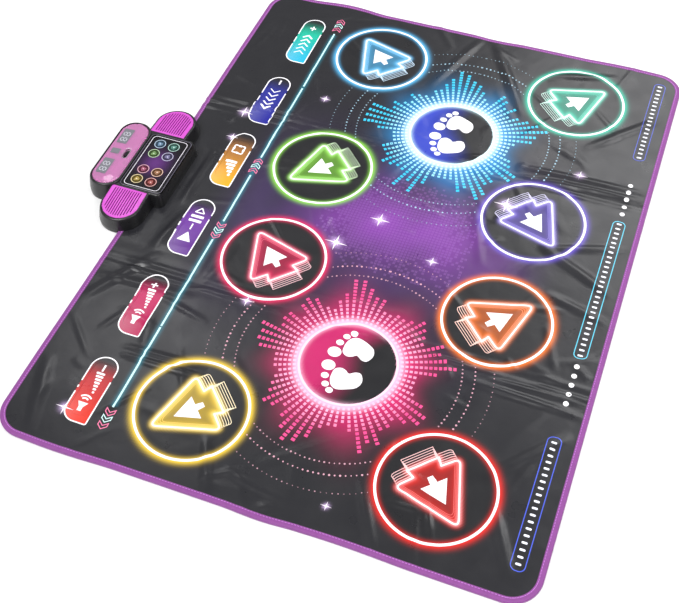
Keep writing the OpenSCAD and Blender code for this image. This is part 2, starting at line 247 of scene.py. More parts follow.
def filleted(corners, radii, steps=7):
    """A closed outline with each corner cut by a curve: a quadratic between the two points at radius from it."""
    corners = np.asarray(corners, float)
    radii = np.asarray(radii, float)[:, None]
    back = np.roll(corners, 1, 0) - corners
    ahead = np.roll(corners, -1, 0) - corners
    start = corners + back / np.linalg.norm(back, axis=1, keepdims=True) * radii
    end = corners + ahead / np.linalg.norm(ahead, axis=1, keepdims=True) * radii
    t = np.linspace(0, 1, steps)[None, :, None]
    curve = (1 - t) ** 2 * start[:, None] + 2 * t * (1 - t) * corners[:, None] + t**2 * end[:, None]
    return curve.reshape(-1, 2)


def looped(points, steps=8):
    """A smooth closed curve through points: a cubic between each pair, with tangents from the neighbours."""
    p = np.asarray(points, float)[:, None]
    after = np.roll(p, -1, 0)
    slope, next_slope = (after - np.roll(p, 1, 0)) / 2, (np.roll(p, -2, 0) - p) / 2
    t = np.linspace(0, 1, steps, endpoint=False)[None, :, None]
    curve = (
        (2 * t**3 - 3 * t**2 + 1) * p
        + (t**3 - 2 * t**2 + t) * slope
        + (3 * t**2 - 2 * t**3) * after
        + (t**3 - t**2) * next_slope
    )
    return curve.reshape(-1, 2)


def divided(parts):
    """For edges cut into so many parts each: every new point's edge, and its share of the way along it."""
    edge = np.repeat(np.arange(len(parts)), parts)
    return edge, (np.arange(len(edge)) - np.repeat(np.cumsum(parts) - parts, parts)) / parts[edge]


def resampled(path, step, closed=False):
    """The path with points added so that none are further apart than step."""
    ends = np.concatenate([path, path[:1]]) if closed else path
    away = np.linalg.norm(np.diff(ends, axis=0), axis=1)
    path = np.concatenate([ends[:-1][away > 1e-6], ends[-1:]])
    away = away[away > 1e-6]
    edge, share = divided(np.maximum(np.ceil(away / step).astype(int), 1))
    made = path[edge] + (path[edge + 1] - path[edge]) * share[:, None]
    return made if closed else np.concatenate([made, path[-1:]])


def stroke(path, width, closed=False):
    """A ribbon along a path: each station has one point half a width to its right and one to its left."""
    ahead = np.roll(path, -1, 0) - path
    behind = path - np.roll(path, 1, 0)
    if not closed:
        ahead[-1], behind[0] = behind[-1], ahead[0]
    ahead /= np.linalg.norm(ahead, axis=1, keepdims=True)
    behind /= np.linalg.norm(behind, axis=1, keepdims=True)
    along = ahead + behind
    along /= np.maximum(np.linalg.norm(along, axis=1, keepdims=True), 1e-6)
    lean = np.maximum((along * ahead).sum(1, keepdims=True), 0.5)
    left = np.stack([-along[:, 1], along[:, 0]], -1) * width / 2 / lean
    points = np.stack([path - left, path + left], 1).reshape(-1, 2)
    n = len(path)
    i = np.arange(n if closed else n - 1)
    j = (i + 1) % n
    quads = np.stack([2 * i, 2 * j, 2 * j + 1, 2 * i + 1], -1)
    edges = [np.stack([2 * i, 2 * j], -1), np.stack([2 * j + 1, 2 * i + 1], -1)]
    if not closed:
        edges.append(np.array([[1, 0], [2 * n - 2, 2 * n - 1]]))
    return points, [quads], np.concatenate(edges)


def ring_quads(n, bands, first=0):
    """Quads between rings of n points, each ring outside the last."""
    i = np.arange(n)
    j = (i + 1) % n
    start = first + n * np.arange(bands)[:, None]
    return np.stack([start + i, start + n + i, start + n + j, start + j], -1).reshape(-1, 4)


def plate(outline, centre=None, rings=1):
    """A filled outline: rings of it, shrunk evenly towards a centre that sees every point of it."""
    centre = outline.mean(0) if centre is None else np.asarray(centre, float)
    n = len(outline)
    shares = np.arange(1, rings + 1)[:, None, None] / rings
    points = np.concatenate([centre[None], (centre + shares * (outline - centre)).reshape(-1, 2)])
    i = np.arange(n)
    j = (i + 1) % n
    fan = np.stack([np.zeros(n, int), 1 + i, 1 + j], -1)
    last = 1 + n * (rings - 1)
    return points, [fan, ring_quads(n, rings - 1, 1)], np.stack([last + i, last + j], -1)


def collar(inner, outer, rings=3, step=5):
    """The band between two outlines of equal length: a straight step from each inner point to its outer one.
    Long edges are cut into equal parts no longer than step."""
    parts = np.ceil(np.linalg.norm(np.roll(outer, -1, 0) - outer, axis=1) / step + 0.01).astype(int)
    edge, share = divided(parts)
    inner, outer = (path[edge] + share[:, None] * (np.roll(path, -1, 0) - path)[edge] for path in (inner, outer))
    n = len(inner)
    shares = np.linspace(0, 1, rings + 1)[:, None, None]
    points = (inner + shares * (outer - inner)).reshape(-1, 2)
    i = np.arange(n)
    j = (i + 1) % n
    last = n * rings
    rims = np.concatenate([np.stack([j, i], -1), np.stack([last + i, last + j], -1)])
    return points, [ring_quads(n, rings)], rims


def stamps(centres, shape, angles=0.0, sizes=1.0):
    """Copies of one small outline, turned and scaled, at many centres."""
    centres = np.asarray(centres, float).reshape(-1, 2)
    count, n = len(centres), len(shape)
    angles = np.broadcast_to(angles, count)[:, None]
    scaled = shape[None] * np.broadcast_to(np.reshape(sizes, (-1, 1, 1)), (count, 1, 1))
    points = centres[:, None] + scaled[..., :1] * facing(angles) + scaled[..., 1:] * facing(angles + 90)
    polygons = np.arange(count * n).reshape(count, n)
    return points.reshape(-1, 2), [polygons], np.stack([polygons, np.roll(polygons, -1, 1)], -1).reshape(-1, 2)


CHUNK = 4000  # points compared with an outline at a time, to bound the memory used


def inside(points, loops):
    """Whether each point is inside the outlines, by the number of edges that a ray to +X crosses."""
    odd = np.zeros(len(points), bool)
    for loop in loops:
        a, b = loop, np.roll(loop, -1, 0)
        for part in range(0, len(points), CHUNK):
            x, y = points[part : part + CHUNK, :1], points[part : part + CHUNK, 1:]
            spans = (a[:, 1] > y) != (b[:, 1] > y)
            with np.errstate(divide="ignore", invalid="ignore"):
                cross = a[:, 0] + (y - a[:, 1]) * (b[:, 0] - a[:, 0]) / (b[:, 1] - a[:, 1])
            odd[part : part + CHUNK] ^= (np.sum(spans & (x < cross), 1) % 2).astype(bool)
    return odd


def distance_to(path, points):
    """Distance from each point to the nearest point of a densely sampled path."""
    near = np.empty(len(points))
    for part in range(0, len(points), CHUNK):
        chunk = points[part : part + CHUNK, None] - path[None]
        near[part : part + CHUNK] = np.sqrt((chunk**2).sum(-1).min(1))
    return near


def cut_patch(outline, holes, inner, room):
    """A filled outline with holes: inner points, no closer to a rim than room, joined by triangles that keep
    the rims as edges."""
    loops = [outline, *holes]
    rims = np.concatenate(loops)
    inner = inner[inside(inner, loops)]
    inner = inner[distance_to(rims, inner) > room]
    starts = np.cumsum([0] + [len(loop) for loop in loops])
    edges = np.concatenate(
        [np.stack([a + np.arange(n), a + (np.arange(n) + 1) % n], -1) for a, n in zip(starts, map(len, loops))]
    )
    points = np.concatenate([rims, inner])
    found = delaunay_2d_cdt(points.tolist(), edges.tolist(), [], 0, 1e-5, False)
    points, faces = np.array([tuple(p) for p in found[0]]), np.array(found[2])
    faces = faces[inside(points[faces].mean(1), loops)]
    split = len(outline)
    edges[split:] = edges[split:, ::-1]
    return points, [faces], edges


# Solids: points (n, 3) and faces


def thick(patch, low, high):
    """A closed slab of a patch: its points at the heights high and low, and a wall along each rim edge."""
    points, faces, edges = patch
    n = len(points)
    top = np.column_stack([points, np.broadcast_to(high, n)])
    bottom = np.column_stack([points, np.broadcast_to(low, n)])
    walls = np.stack([edges[:, 0] + n, edges[:, 1] + n, edges[:, 1], edges[:, 0]], -1)
    return np.concatenate([top, bottom]), [*faces, *[f[:, ::-1] + n for f in faces], walls]


def loft(sections):
    """A closed skin through stacked outlines of equal length, (level, t). Each outline runs in mirrored pairs, so
    its ends are closed by strips from each point to its mirrored one."""
    sections = np.asarray(sections)
    levels, n = sections.shape[:2]
    i = np.arange(n)
    j = (i + 1) % n
    start = n * np.arange(levels - 1)[:, None]
    quads = np.stack([start + i, start + j, start + n + j, start + n + i], -1).reshape(-1, 4)
    k = np.arange(n // 2 - 1)
    strips = np.stack([k, k + 1, n - 2 - k, n - 1 - k], -1)
    return sections.reshape(-1, 3), [quads, strips[:, ::-1], strips + n * (levels - 1)]


def swept(stations, closed=False):
    """A closed tube of profiles, (station, profile point): quads between stations, and flat ends if open."""
    count, n = stations.shape[:2]
    s = np.arange(count if closed else count - 1)[:, None]
    i = np.arange(n)[None]
    after, j = (s + 1) % count, (i + 1) % n
    quads = np.stack([s * n + i, s * n + j, after * n + j, after * n + i], -1).reshape(-1, 4)
    faces = [quads] if closed else [quads, i[:, ::-1], i + n * (count - 1)]
    return stations.reshape(-1, 3), faces


def together(solids):
    """Several solids as one."""
    points, faces, start = [], [], 0
    for p, f in solids:
        points.append(p)
        faces += [part + start for part in f]
        start += len(p)
    return np.concatenate(points), faces


def piece(name, solid, material, colour=None, crease=35):
    """A Blender object of a solid in mm. colour (n, 3), if given, is stored as the "print" attribute."""
    points, faces = solid
    mesh = bpy.data.meshes.new(name)
    mesh.from_pydata((points / 1000).tolist(), [], [face for part in faces for face in part.tolist()])
    if colour is not None:
        layer = mesh.color_attributes.new("print", "FLOAT_COLOR", "POINT")
        layer.data.foreach_set("color", np.column_stack([colour, np.ones(len(colour))]).ravel())
    mesh.materials.append(material)
    mesh.shade_smooth()
    mesh.set_sharp_from_angle(angle=np.radians(crease))
    made = bpy.data.objects.new(name, mesh)
    bpy.context.scene.collection.objects.link(made)
    return made


def carved(base, tools, operation):
    """The base with each tool added or taken away. The tools are removed, and the result is a plain mesh."""
    for tool in tools:
        cut = base.modifiers.new("cut", "BOOLEAN")
        cut.object, cut.operation, cut.solver = tool, operation, "MANIFOLD"
    whole = base.evaluated_get(bpy.context.evaluated_depsgraph_get())
    mesh = bpy.data.meshes.new_from_object(whole)
    base.modifiers.clear()
    base.data = mesh
    for tool in tools:
        bpy.data.objects.remove(tool)
    return base


# The mat's relief


def bell(t):
    """1 at 0 and smoothly down to 0 at 1 and beyond: (1 - t^2)^2."""
    return (1 - np.clip(np.abs(t), 0, 1) ** 2) ** 2


def smooth(t):
    """0 up to 0, 1 from 1 on and an S between: 3t^2 - 2t^3."""
    t = np.clip(t, 0, 1)
    return t * t * (3 - 2 * t)


def waves(x, y, table):
    """A sum of sine waves from 0 up: each row is direction in degrees, wavelength, height and phase."""
    total = np.zeros(np.shape(x))
    for direction, length, height, phase in table:
        across = x * np.cos(np.radians(direction)) + y * np.sin(np.radians(direction))
        total += height * (1 + np.sin(2 * np.pi * across / length + phase)) / 2
    return total


# Swells and creases: direction in degrees, wavelength, share of the height and phase
SWELLS = ((12, 430, 0.35, 0.4), (78, 300, 0.25, 1.9), (128, 240, 0.2, 4.0), (160, 360, 0.2, 2.6))
CREASE_SWELLS = ((90, 190, 0.5, 0.8), (90, 83, 0.3, 2.2), (90, 47, 0.2, 0.3))
CREASE_RISE = 2.6  # height of the ridges beside the fold lines
CREASE_OFFSET = 137  # how far the ridges' waves are shifted along one fold line against the other
FOLD_RISE = 1.35  # how much higher every fold stands than its own height says

# How far the side edges of the right and the left half bow out: place along Y, half length and depth
BOWS = {1: ((275, 90, 8), (-60, 60, -3), (-330, 90, 3)), -1: ((330, 110, 3), (-150, 120, -2.5), (-20, 60, 2))}
BOW_FROM, BOW_OVER = 556, 44  # the bow grows from this X on, over this width

# Folds pressed into the cloth: from x, y to x, y, height and half width
FOLDS = (
    (-400, 318, -397, 158, 2.4, 9), (-384, 322, -380, 165, 2.0, 10), (-262, -446, -254, -240, 2.6, 11),
    (-236, -446, -240, -270, 2.2, 9), (-258, 446, -252, 250, 2.0, 12), (236, -446, 232, -240, 3.0, 10),
    (256, -446, 250, -190, 2.4, 11), (244, 446, 240, 170, 2.0, 12), (70, -282, -6, -436, 2.2, 15),
    (60, -286, 112, -440, 1.8, 13), (-34, -318, -66, -440, 1.8, 13), (372, -176, 596, -52, 2.4, 17),
    (408, 34, 596, -30, 1.8, 14), (530, 330, 594, 128, 1.6, 16), (-596, -206, -478, -142, 2.0, 14),
    (-596, 66, -494, 112, 1.8, 13), (-322, 440, -176, 350, 2.2, 16), (-176, 372, -60, 346, 2.6, 15),
    (176, 380, 262, 336, 2.2, 14), (-60, 372, 120, 366, 2.4, 14), (-420, -322, -296, -432, 2.4, 17),
    (-566, -404, -452, -346, 2.0, 14), (262, -12, 272, 38, 1.6, 8), (238, -84, 252, -130, 1.8, 9),
    (150, -160, 190, 60, 1.2, 12), (-160, -120, -176, 100, 1.4, 13), (330, -300, 470, -432, 2.0, 16),
    (-590, 380, -440, 428, 1.8, 16), (350, 436, 540, 400, 1.4, 18), (-520, 20, -380, -150, 1.2, 15),
    (300, 240, 410, 292, 0.9, 13), (-100, 40, 40, 128, 1.2, 16), (-20, -200, 120, -150, 1.3, 14),
    (120, 300, 214, 262, 1.4, 12), (-560, -60, -545, 60, 1.6, 14), (560, -330, 520, -180, 1.8, 15),
)


def small_folds():
    """A hundred and forty short folds all over the mat, seeded, in the same form as FOLDS."""
    count = 140
    draw = np.random.RandomState(5)
    centre = draw.uniform([-580, -430], [580, 430], (count, 2))
    reach = draw.uniform(14, 62, count)[:, None] * facing(draw.uniform(0, 180, count))
    heights, widths = draw.uniform(0.3, 1.2, count), draw.uniform(7, 15, count)
    return np.column_stack([centre - reach, centre + reach, heights, widths])


ALL_FOLDS = np.concatenate([np.array(FOLDS, float), small_folds()])


def under_box(x, y, side, front):
    """1 under the control box and smoothly down to 0 outside it. side and front are each a place and a width."""
    return smooth((side[0] - np.abs(x)) / side[1]) * smooth((y - front[0]) / front[1])


def swell(x, y):
    """Height of the long swells, which the foam follows too. They die out under the control box and are low at
    the fold lines."""
    rise = look("mat_look").swell * waves(x, y, SWELLS)
    clear = 1 - under_box(x, y, (206, 36), (362, 26))
    return rise * clear * smooth((np.abs(np.abs(x) - CREASE) - 2) / 40 + 0.15)


def wrinkles(x, y):
    """Height of the folds of the printed sheet over the foam: ridges at both sides of each fold line, and along
    each fold a ridge of bell(across / reach)^1.3 * bell(2 * along - 1)^0.5."""
    side = np.abs(x) - CREASE
    ridges = bell((side - 9) / 8) + 0.8 * bell((side + 10) / 9)
    rise = CREASE_RISE * ridges * waves(0 * x, y + CREASE_OFFSET * np.sign(x), CREASE_SWELLS)
    for x0, y0, x1, y1, height, reach in ALL_FOLDS:
        along = np.array([x1 - x0, y1 - y0])
        length = np.linalg.norm(along)
        around = length / 2 + reach
        near = (np.abs(x - (x0 + x1) / 2) < around) & (np.abs(y - (y0 + y1) / 2) < around)
        u = ((x[near] - x0) * along[0] + (y[near] - y0) * along[1]) / length**2
        v = ((x[near] - x0) * along[1] - (y[near] - y0) * along[0]) / length
        rise[near] += FOLD_RISE * height * bell(v / reach) ** 1.3 * bell(2 * u - 1) ** 0.5
    clear = 1 - under_box(x, y, (190, 20), (378, 16))
    return look("mat_look").wrinkle * rise * clear * smooth(np.abs(side) / 3)


def draped(points, sheet=1.0):
    """Points of the flat mat, (n, 3), laid on its relief: the swells, and the wrinkles times the share sheet.
    The side edges bow in and out a little in plan, by a sum of bells along Y."""
    x, y, z = points.T
    rise = swell(x, y) + (wrinkles(x, y) * sheet if np.any(sheet) else 0)
    left, right = (sum(depth * bell((y - at) / half) for at, half, depth in BOWS[side]) for side in (-1, 1))
    bow = np.where(x > 0, right, left) * np.sign(x) * smooth((np.abs(x) - BOW_FROM) / BOW_OVER)
    return np.column_stack([x + bow, y, z + rise])


# The print: soft colours held by the mesh points


def over(below, ink, weight):
    """A layer of ink laid over a colour: below * (1 - weight) + ink * weight."""
    return below + (np.asarray(ink) - below) * np.clip(weight, 0, 1)[..., None]


def halo(distance, reach):
    """A glow that falls off with distance: exp(-(d / reach)^2)."""
    return np.exp(-((distance / reach) ** 2))


ARROW = filleted(
    [(72, 0), (-29, 57), (-30, 24), (-45, 28), (-45, -28), (-30, -24), (-29, -57)],
    [13, 12, 0.5, 0.5, 0.5, 0.5, 12],
)
CURSOR = np.array([(31, 0), (-8, 23), (-8, 6.2), (-21, 4.6), (-21, -4.6), (-8, -6.2), (-8, -23)], float)
RING_R = PAD_R + 2.2  # middle of a pad's white ring, which covers the gap round the pad


def arrow_of(node):
    """A pad's big arrow in its place."""
    return turned(ARROW, PADS[node][1]) + middle(node)


def button_frame(node):
    """Left, right, low and high side of a button's printed frame."""
    low, high = span(node)
    left, right = BUTTONS[node][:2]
    y = (low[1] + high[1]) / 2
    return low[0] - left, high[0] + right, y - FRAME_H / 2, y + FRAME_H / 2


def frame_outline(node, inset=0.0):
    """A button's frame: a round corner at the rear left, a square one at the front left and a round right end."""
    x0, x1, y0, y1 = button_frame(node)
    radii = np.maximum([25 - inset, 25 - inset, 3, 25 - inset], 1)
    return rounded([(x0 + x1) / 2, (y0 + y1) / 2], x1 - x0 - 2 * inset, y1 - y0 - 2 * inset, radii, 16)


def button_colour(node, points):
    """A button's fill: its first hue runs into its second and then fades into the bare sheet."""
    x0, x1, y0, y1 = button_frame(node)
    t = (points[:, 0] - x0) / (x1 - x0)
    first, second = (linear(c) for c in BUTTONS[node][2:])
    colour = first + (second - first) * smooth(t / 0.7)[:, None]
    colour = over(colour, linear("#FFFFFF"), 0.08 * halo(t - 0.12, 0.25) * smooth((points[:, 1] - y0) / (y1 - y0)))
    return over(np.broadcast_to(linear(VINYL), colour.shape), colour, 1 - smooth((t - 0.62) / 0.34))


# The clouds' patches: direction in degrees, wavelength, share of the strength and phase
CLOUDS = ((20, 150, 0.3, 1.0), (105, 120, 0.3, 2.0), (60, 70, 0.2, 0.5), (150, 210, 0.2, 3.0))


def cloud_colour(colour, x, y):
    """The cloud in the middle: a wide dark band and a narrower bright core, both uneven."""
    patches = waves(x, y, CLOUDS)
    band = halo(x - 5, 175) * smooth((340 - y) / 120) * smooth((y + 350) / 170)
    colour = over(colour, linear(CLOUD_EDGE), 0.75 * band * (0.55 + 0.6 * patches))
    core = halo(x - 22, 92) * smooth((220 - y) / 190) * smooth((y + 330) / 230)
    return over(colour, np.array(look("mat_look").nebula), 0.95 * core * (0.55 + 0.55 * patches))


def foot_colour(colour, x, y):
    """Each foot circle: a glow whose reach varies round it, a pale rim, and a dark disc whose rear is filled
    down to a wavy edge."""
    for centre, rim, pale, _, fill in FEET:
        dx, dy = x - centre[0], y - centre[1]
        r, angle = np.hypot(dx, dy), np.arctan2(dy, dx)
        ray = 0.75 + 0.25 * np.sin(3 * angle + 0.6) * np.sin(5 * angle)
        lower = 0.8 + 0.3 * smooth(-dy / 120)
        colour = over(colour, linear(rim), 0.75 * halo(np.maximum(r - FOOT_R, 0), 62 * ray) * lower)
        colour = over(colour, linear(pale), 0.85 * halo(r - FOOT_R - 4, 9))
        disc = smooth((FOOT_R + 1 - r) / 2)
        colour = over(colour, linear(FOOT_BLACK), disc)
        edge = 6 * np.sin(dx / 17) + 9 * np.sin(dx / 31 + 1) + 0.25 * dx * np.sign(centre[0])
        colour = over(colour, linear(fill), 0.8 * disc * smooth((dy + 40 - edge) / 80))
        colour = over(colour, linear(pale), 0.5 * disc * halo(FOOT_R - r, 5) * smooth((dy + 60) / 60))
    return colour


def pad_colour(node, colour, points):
    """One pad: the glow of its ring on both sides, and in its disc the glow of the arrow's outline and the
    arrow's dim body, darkest behind the cursor."""
    glow_reach = look("mat_look").glow
    away = points - middle(node)
    r = np.hypot(*away.T)
    if r.min() > RING_R + 4 * glow_reach:
        return colour
    ink = linear(PADS[node][0])
    colour = over(colour, linear(PAD_BLACK), smooth((RING_R - r) / 3))
    colour = over(colour, ink, 0.95 * halo(np.maximum(r - RING_R, 0), glow_reach) * (r >= RING_R))
    colour = over(colour, ink, 0.75 * halo(RING_R - r, 5.0) * (r < RING_R))
    disc = r < RING_R - 6
    if not disc.any():
        return colour
    path = resampled(arrow_of(node), 1.5, closed=True)
    far_off = distance_to(path, points[disc])
    within = inside(points[disc], [path])
    body = over(linear(PAD_BLACK), ink, np.full(disc.sum(), 0.2))
    inner = np.where(within[:, None], body, colour[disc])
    inner = over(inner, ink, np.where(within, 0.08 + 0.85 * halo(far_off, 9), halo(far_off, 5.5)))
    inner = over(inner, linear(WHITE_INK), 0.35 * halo(far_off, 3.6))
    colour[disc] = over(inner, ink * 0.5, np.where(within, 0.6 * halo(np.hypot(*away[disc].T), 30), 0))
    return colour


def print_colour(points):
    """Colour of the soft print at each point: the cloud, the foot circles, the pads, the line's glow and the
    stars' glow, each laid over the last."""
    x, y = points.T
    colour = foot_colour(cloud_colour(np.broadcast_to(linear(VINYL), (len(x), 3)), x, y), x, y)
    for node in PADS:
        colour = pad_colour(node, colour, points)
    colour = over(colour, linear(LINE_GLOW), 0.5 * halo(y - LINE_Y, 5) * (np.abs(x) < 500))
    for cx, cy, size in SPARKLES:
        colour = over(colour, linear(STAR_GLOW), 0.75 * halo(np.hypot(x - cx, y - cy), size * 0.55))
    return colour


LINE_Y = 276  # the line in front of the buttons
FRONT_Y = -408  # the capsules and dots along the front edge

# Small four-pointed stars: x, y and reach
SPARKLES = (
    (-527, 350, 14), (213, 359, 15), (140, 353, 11), (-546, -112, 8), (-226, 160, 12), (-49, 62, 19),
    (29, 5, 17), (-34, -115, 11), (304, 220, 10), (262, -313, 13), (143, -202, 20),
)
STAR = np.array([(1, 0), (0.1, 0.1), (0, 1), (-0.1, 0.1), (-1, 0), (-0.1, -0.1), (0, -1), (0.1, -0.1)])
DISC = facing(np.arange(0, 360, 30))
CIRCLE = facing(np.arange(0, 360, 2.5))
BLOCK = np.array([(1, 1), (-1, 1), (-1, -1), (1, -1)], float)


# Crisp ink: each entry is a patch, its colour and its level above the sheet


def ring_ink():
    """White rings round the pads."""
    for node in PADS:
        yield stroke(middle(node) + CIRCLE * RING_R, look("mat_look").ring, True), linear(WHITE_INK), 1


BLOCK_PITCH = 7.9  # spacing of the blocks along a ray
# Dotted circles round each foot circle: radius, size of a dot, spacing and brightness
DOT_RINGS = ((189, 1.5, 8, 0.5), (210, 1.7, 8.5, 0.62), (241, 1.1, 9, 0.4))


def clear_of_pads(places, room):
    """Whether each place is at least this far from every pad's ring."""
    pads = np.array([middle(node) for node in PADS])
    return np.linalg.norm(places[:, None] - pads, axis=2).min(1) > RING_R + room


def burst_ink():
    """Rays of blocks round each foot circle, of seeded lengths that swell and shrink in groups, a bright rim, and
    dotted circles that stop at the pads."""
    draw = np.random.RandomState(11)
    count = look("mat_look").rays
    for centre, _, pale, far, _ in FEET:
        centre, pale, far = np.array(centre), linear(pale), linear(far)
        turn = facing(np.arange(0, 360, 3.0))
        yield stroke(centre + turn * (FOOT_R + 0.6), 4.2, True), pale * 0.8 + 0.2, 1
        angles = np.arange(count) * 360 / count
        groups = np.sin(np.radians(angles * 5 + 40)) + 0.9 * np.sin(np.radians(angles * 9 + 10))
        blocks = np.clip(np.round(7.6 + 2.6 * groups + draw.uniform(-2, 2, count)), 4, 13).astype(int)
        ray = np.repeat(np.arange(count), blocks)
        step = np.arange(len(ray)) - np.repeat(np.cumsum(blocks) - blocks, blocks)
        places = centre + facing(angles[ray]) * (FOOT_R + 8 + BLOCK_PITCH * step)[:, None]
        clear = clear_of_pads(places, 5)
        for k in range(step.max() + 1):
            row = clear & (step == k)
            share = min(k / 6, 1)
            block = BLOCK * [2.6, min(1.9 + 0.15 * k, 3.3)]
            yield stamps(places[row], block, angles[ray][row]), pale * (1 - share) + far * share, 1
        for radius, size, pitch, shine in DOT_RINGS:
            dots = centre + facing(np.arange(0, 360, np.degrees(pitch / radius))) * radius
            clear = clear_of_pads(dots, 10)
            clear &= (np.abs(dots[:, 0]) < 575) & (dots[:, 1] < LINE_Y - 14) & (dots[:, 0] * centre[0] > 0)
            grains = stamps(dots[clear], DISC[::2] * size, 0.0, draw.uniform(0.6, 1.2, clear.sum()))
            yield grains, over(far, linear(WHITE_INK), np.array([0.35]))[0] * shine + 0.12, 1


SOLE = looped(
    [(-31, 19.5), (-19, 17.5), (-13.5, 8), (-16, -2), (-20.5, -9), (-14, -20), (-15, -30), (-29, -36.5),
     (-44, -31.5), (-53, -15), (-58, 1), (-53.5, 12), (-43, 18)], 6
)  # fmt: skip
FOOT_SHARE = 0.94  # size of the footprints against the sole and toes given here
TOES = ((-15, 31.5, 11.6), (-37.5, 29.5, 6.6), (-54, 22.5, 6.2), (-64, 11.5, 6.2))


def foot_ink():
    """Two mirrored bare footprints in each foot circle: a kidney-shaped sole and four toes."""
    for centre, *_ in FEET:
        for side in (-1, 1):
            sole = (SOLE[::-1] if side < 0 else SOLE * [-1, 1]) * FOOT_SHARE
            place = np.array(centre)
            yield plate(sole + place, place + (38 * side, -8), 6), linear(WHITE_INK), 1
            for x, y, r in TOES:
                toe = np.array([-side * x, y]) + facing(np.arange(0, 360, 15)) * [r * 0.94, r * 1.08]
                yield plate(place + toe * FOOT_SHARE, rings=2), linear(WHITE_INK), 1


def line_ink():
    """The line in front of the buttons with its chevrons, the capsules and dots at the front edge, the buttons'
    outlines and the stars."""
    for x0, x1 in ((-500, -329), (-326, -117), (-70, 55), (105, 319), (325, 502)):
        path = resampled(np.array([(x0, LINE_Y), (x1, LINE_Y)], float), GRID)
        yield stroke(path, LINE_W), linear(LINE_INK), 1
    for x0, way in ((-523, -1), (-94, -1), (81, 1), (530, 1)):
        for step in CHEVRON_INKS:
            chevron = np.array([(-6, 8), (0.5, 8), (7, 0), (0.5, -8), (-6, -8), (0.5, 0)]) * [way, 1]
            path = resampled(chevron[::way] + [x0 + step * 13.0, LINE_Y], GRID, True)
            yield stroke(path, FINE_W, True), linear(CHEVRON_INKS[step]), 1
    capsules = ((-430, 236, 19, "#4E62D8"), (10, 322, 27, "#5CC8E4"), (453, 230, 19, "#4252B8"))
    for x, length, dashes, hue in capsules:
        path = resampled(rounded([x, FRONT_Y], length, 22, 9), 5, True)
        yield stroke(path, FINE_W, True), linear(hue), 1
        row = np.column_stack([x + (np.arange(dashes) - (dashes - 1) / 2) * 11.9, np.full(dashes, FRONT_Y)])
        yield stamps(row, rounded([0, 0], 3.6, 9, 1.6, 4)), linear(DASH_INK), 1
    for x0 in (-207, 229):
        row = np.column_stack([x0 + np.arange(-2, 3) * 19, np.full(5, FRONT_Y)])
        yield stamps(row, DISC * 4.6), linear(WHITE_INK), 1
    for node in BUTTONS:
        yield from button_outline(node)
    for x, y, size in SPARKLES:
        yield plate(STAR * size * [1, 1.15] + [x, y], [x, y], 3), linear(STAR_INK), 2
        yield plate(turned(STAR * size * 0.45, 45) + [x, y], [x, y], 2), linear(STAR_INK), 3


def button_outline(node):
    """A button's white outline with three short gaps, as a dashed stroke along its frame."""
    x0, x1, y0, y1 = button_frame(node)
    path = resampled(frame_outline(node, 1.5), 2.5, True)
    gaps = np.array([(x0 + 58, y1), (x1 - 62, y1), (x1 - 40, y0)])
    keep = distance_to(gaps, path) > 3.4
    first = int(np.argmin(keep))
    path, keep = np.roll(path, -first, 0), np.roll(keep, -first)
    cuts = np.flatnonzero(np.diff(keep.astype(int)))
    for run in np.split(np.arange(len(path)), cuts + 1):
        if keep[run[0]] and len(run) > 2:
            yield stroke(path[run], OUTLINE_W), linear(WHITE_INK), 1


def cloud_ink():
    """A faint field of small squares over the cloud, 6.2 mm apart, thinned out towards its edge."""
    cells = lattice((-90, -170), (140, 110), 6.2)
    fade = halo(np.hypot(cells[:, 0] - 24, (cells[:, 1] + 30) / 1.35), 92)
    keep = clear_of_pads(cells, 14)
    keep &= np.random.RandomState(3).uniform(0, 1, len(cells)) < 1.7 * fade
    tint = over(print_colour(cells[keep]), linear(CLOUD_CELL), np.full(keep.sum(), 0.13))
    yield stamps(cells[keep], BLOCK * 2.3), np.repeat(tint, len(BLOCK), 0), 0


ECHO_STEP = 4.2  # spacing of an arrow's thin echoes


def pad_ink(node):
    """A pad's arrow: its white outline, five thin echoes behind its tail, four inside its tip, and the cursor."""
    hue, angle = PADS[node]
    centre = middle(node)
    pale = linear(hue) * 0.45 + 0.55

    def placed(points):
        """Points of the arrow, turned and moved to the pad."""
        return turned(points, angle) + centre

    tail = ARROW[(ARROW[:, 0] < -12)]
    for k in range(1, 6):
        yield stroke(resampled(placed(tail - [ECHO_STEP * k, 0]), GRID), 1.1), pale, 0
    tip = np.roll(ARROW, len(ARROW) // 2, 0)
    tip = tip[tip[:, 0] > -26]
    for k in range(1, 5):
        yield stroke(resampled(placed(tip - [ECHO_STEP * k, 0]), GRID), 0.9), linear(hue) * 0.75 + 0.12, 0
    yield stroke(resampled(placed(ARROW), GRID, True), ARROW_W, True), pale * 0.35 + 0.65 * linear(WHITE_INK), 1
    yield plate(placed(resampled(CURSOR, 6, True)), placed(np.array([[4.0, 0.0]]))[0], 4), linear(WHITE_INK), 2


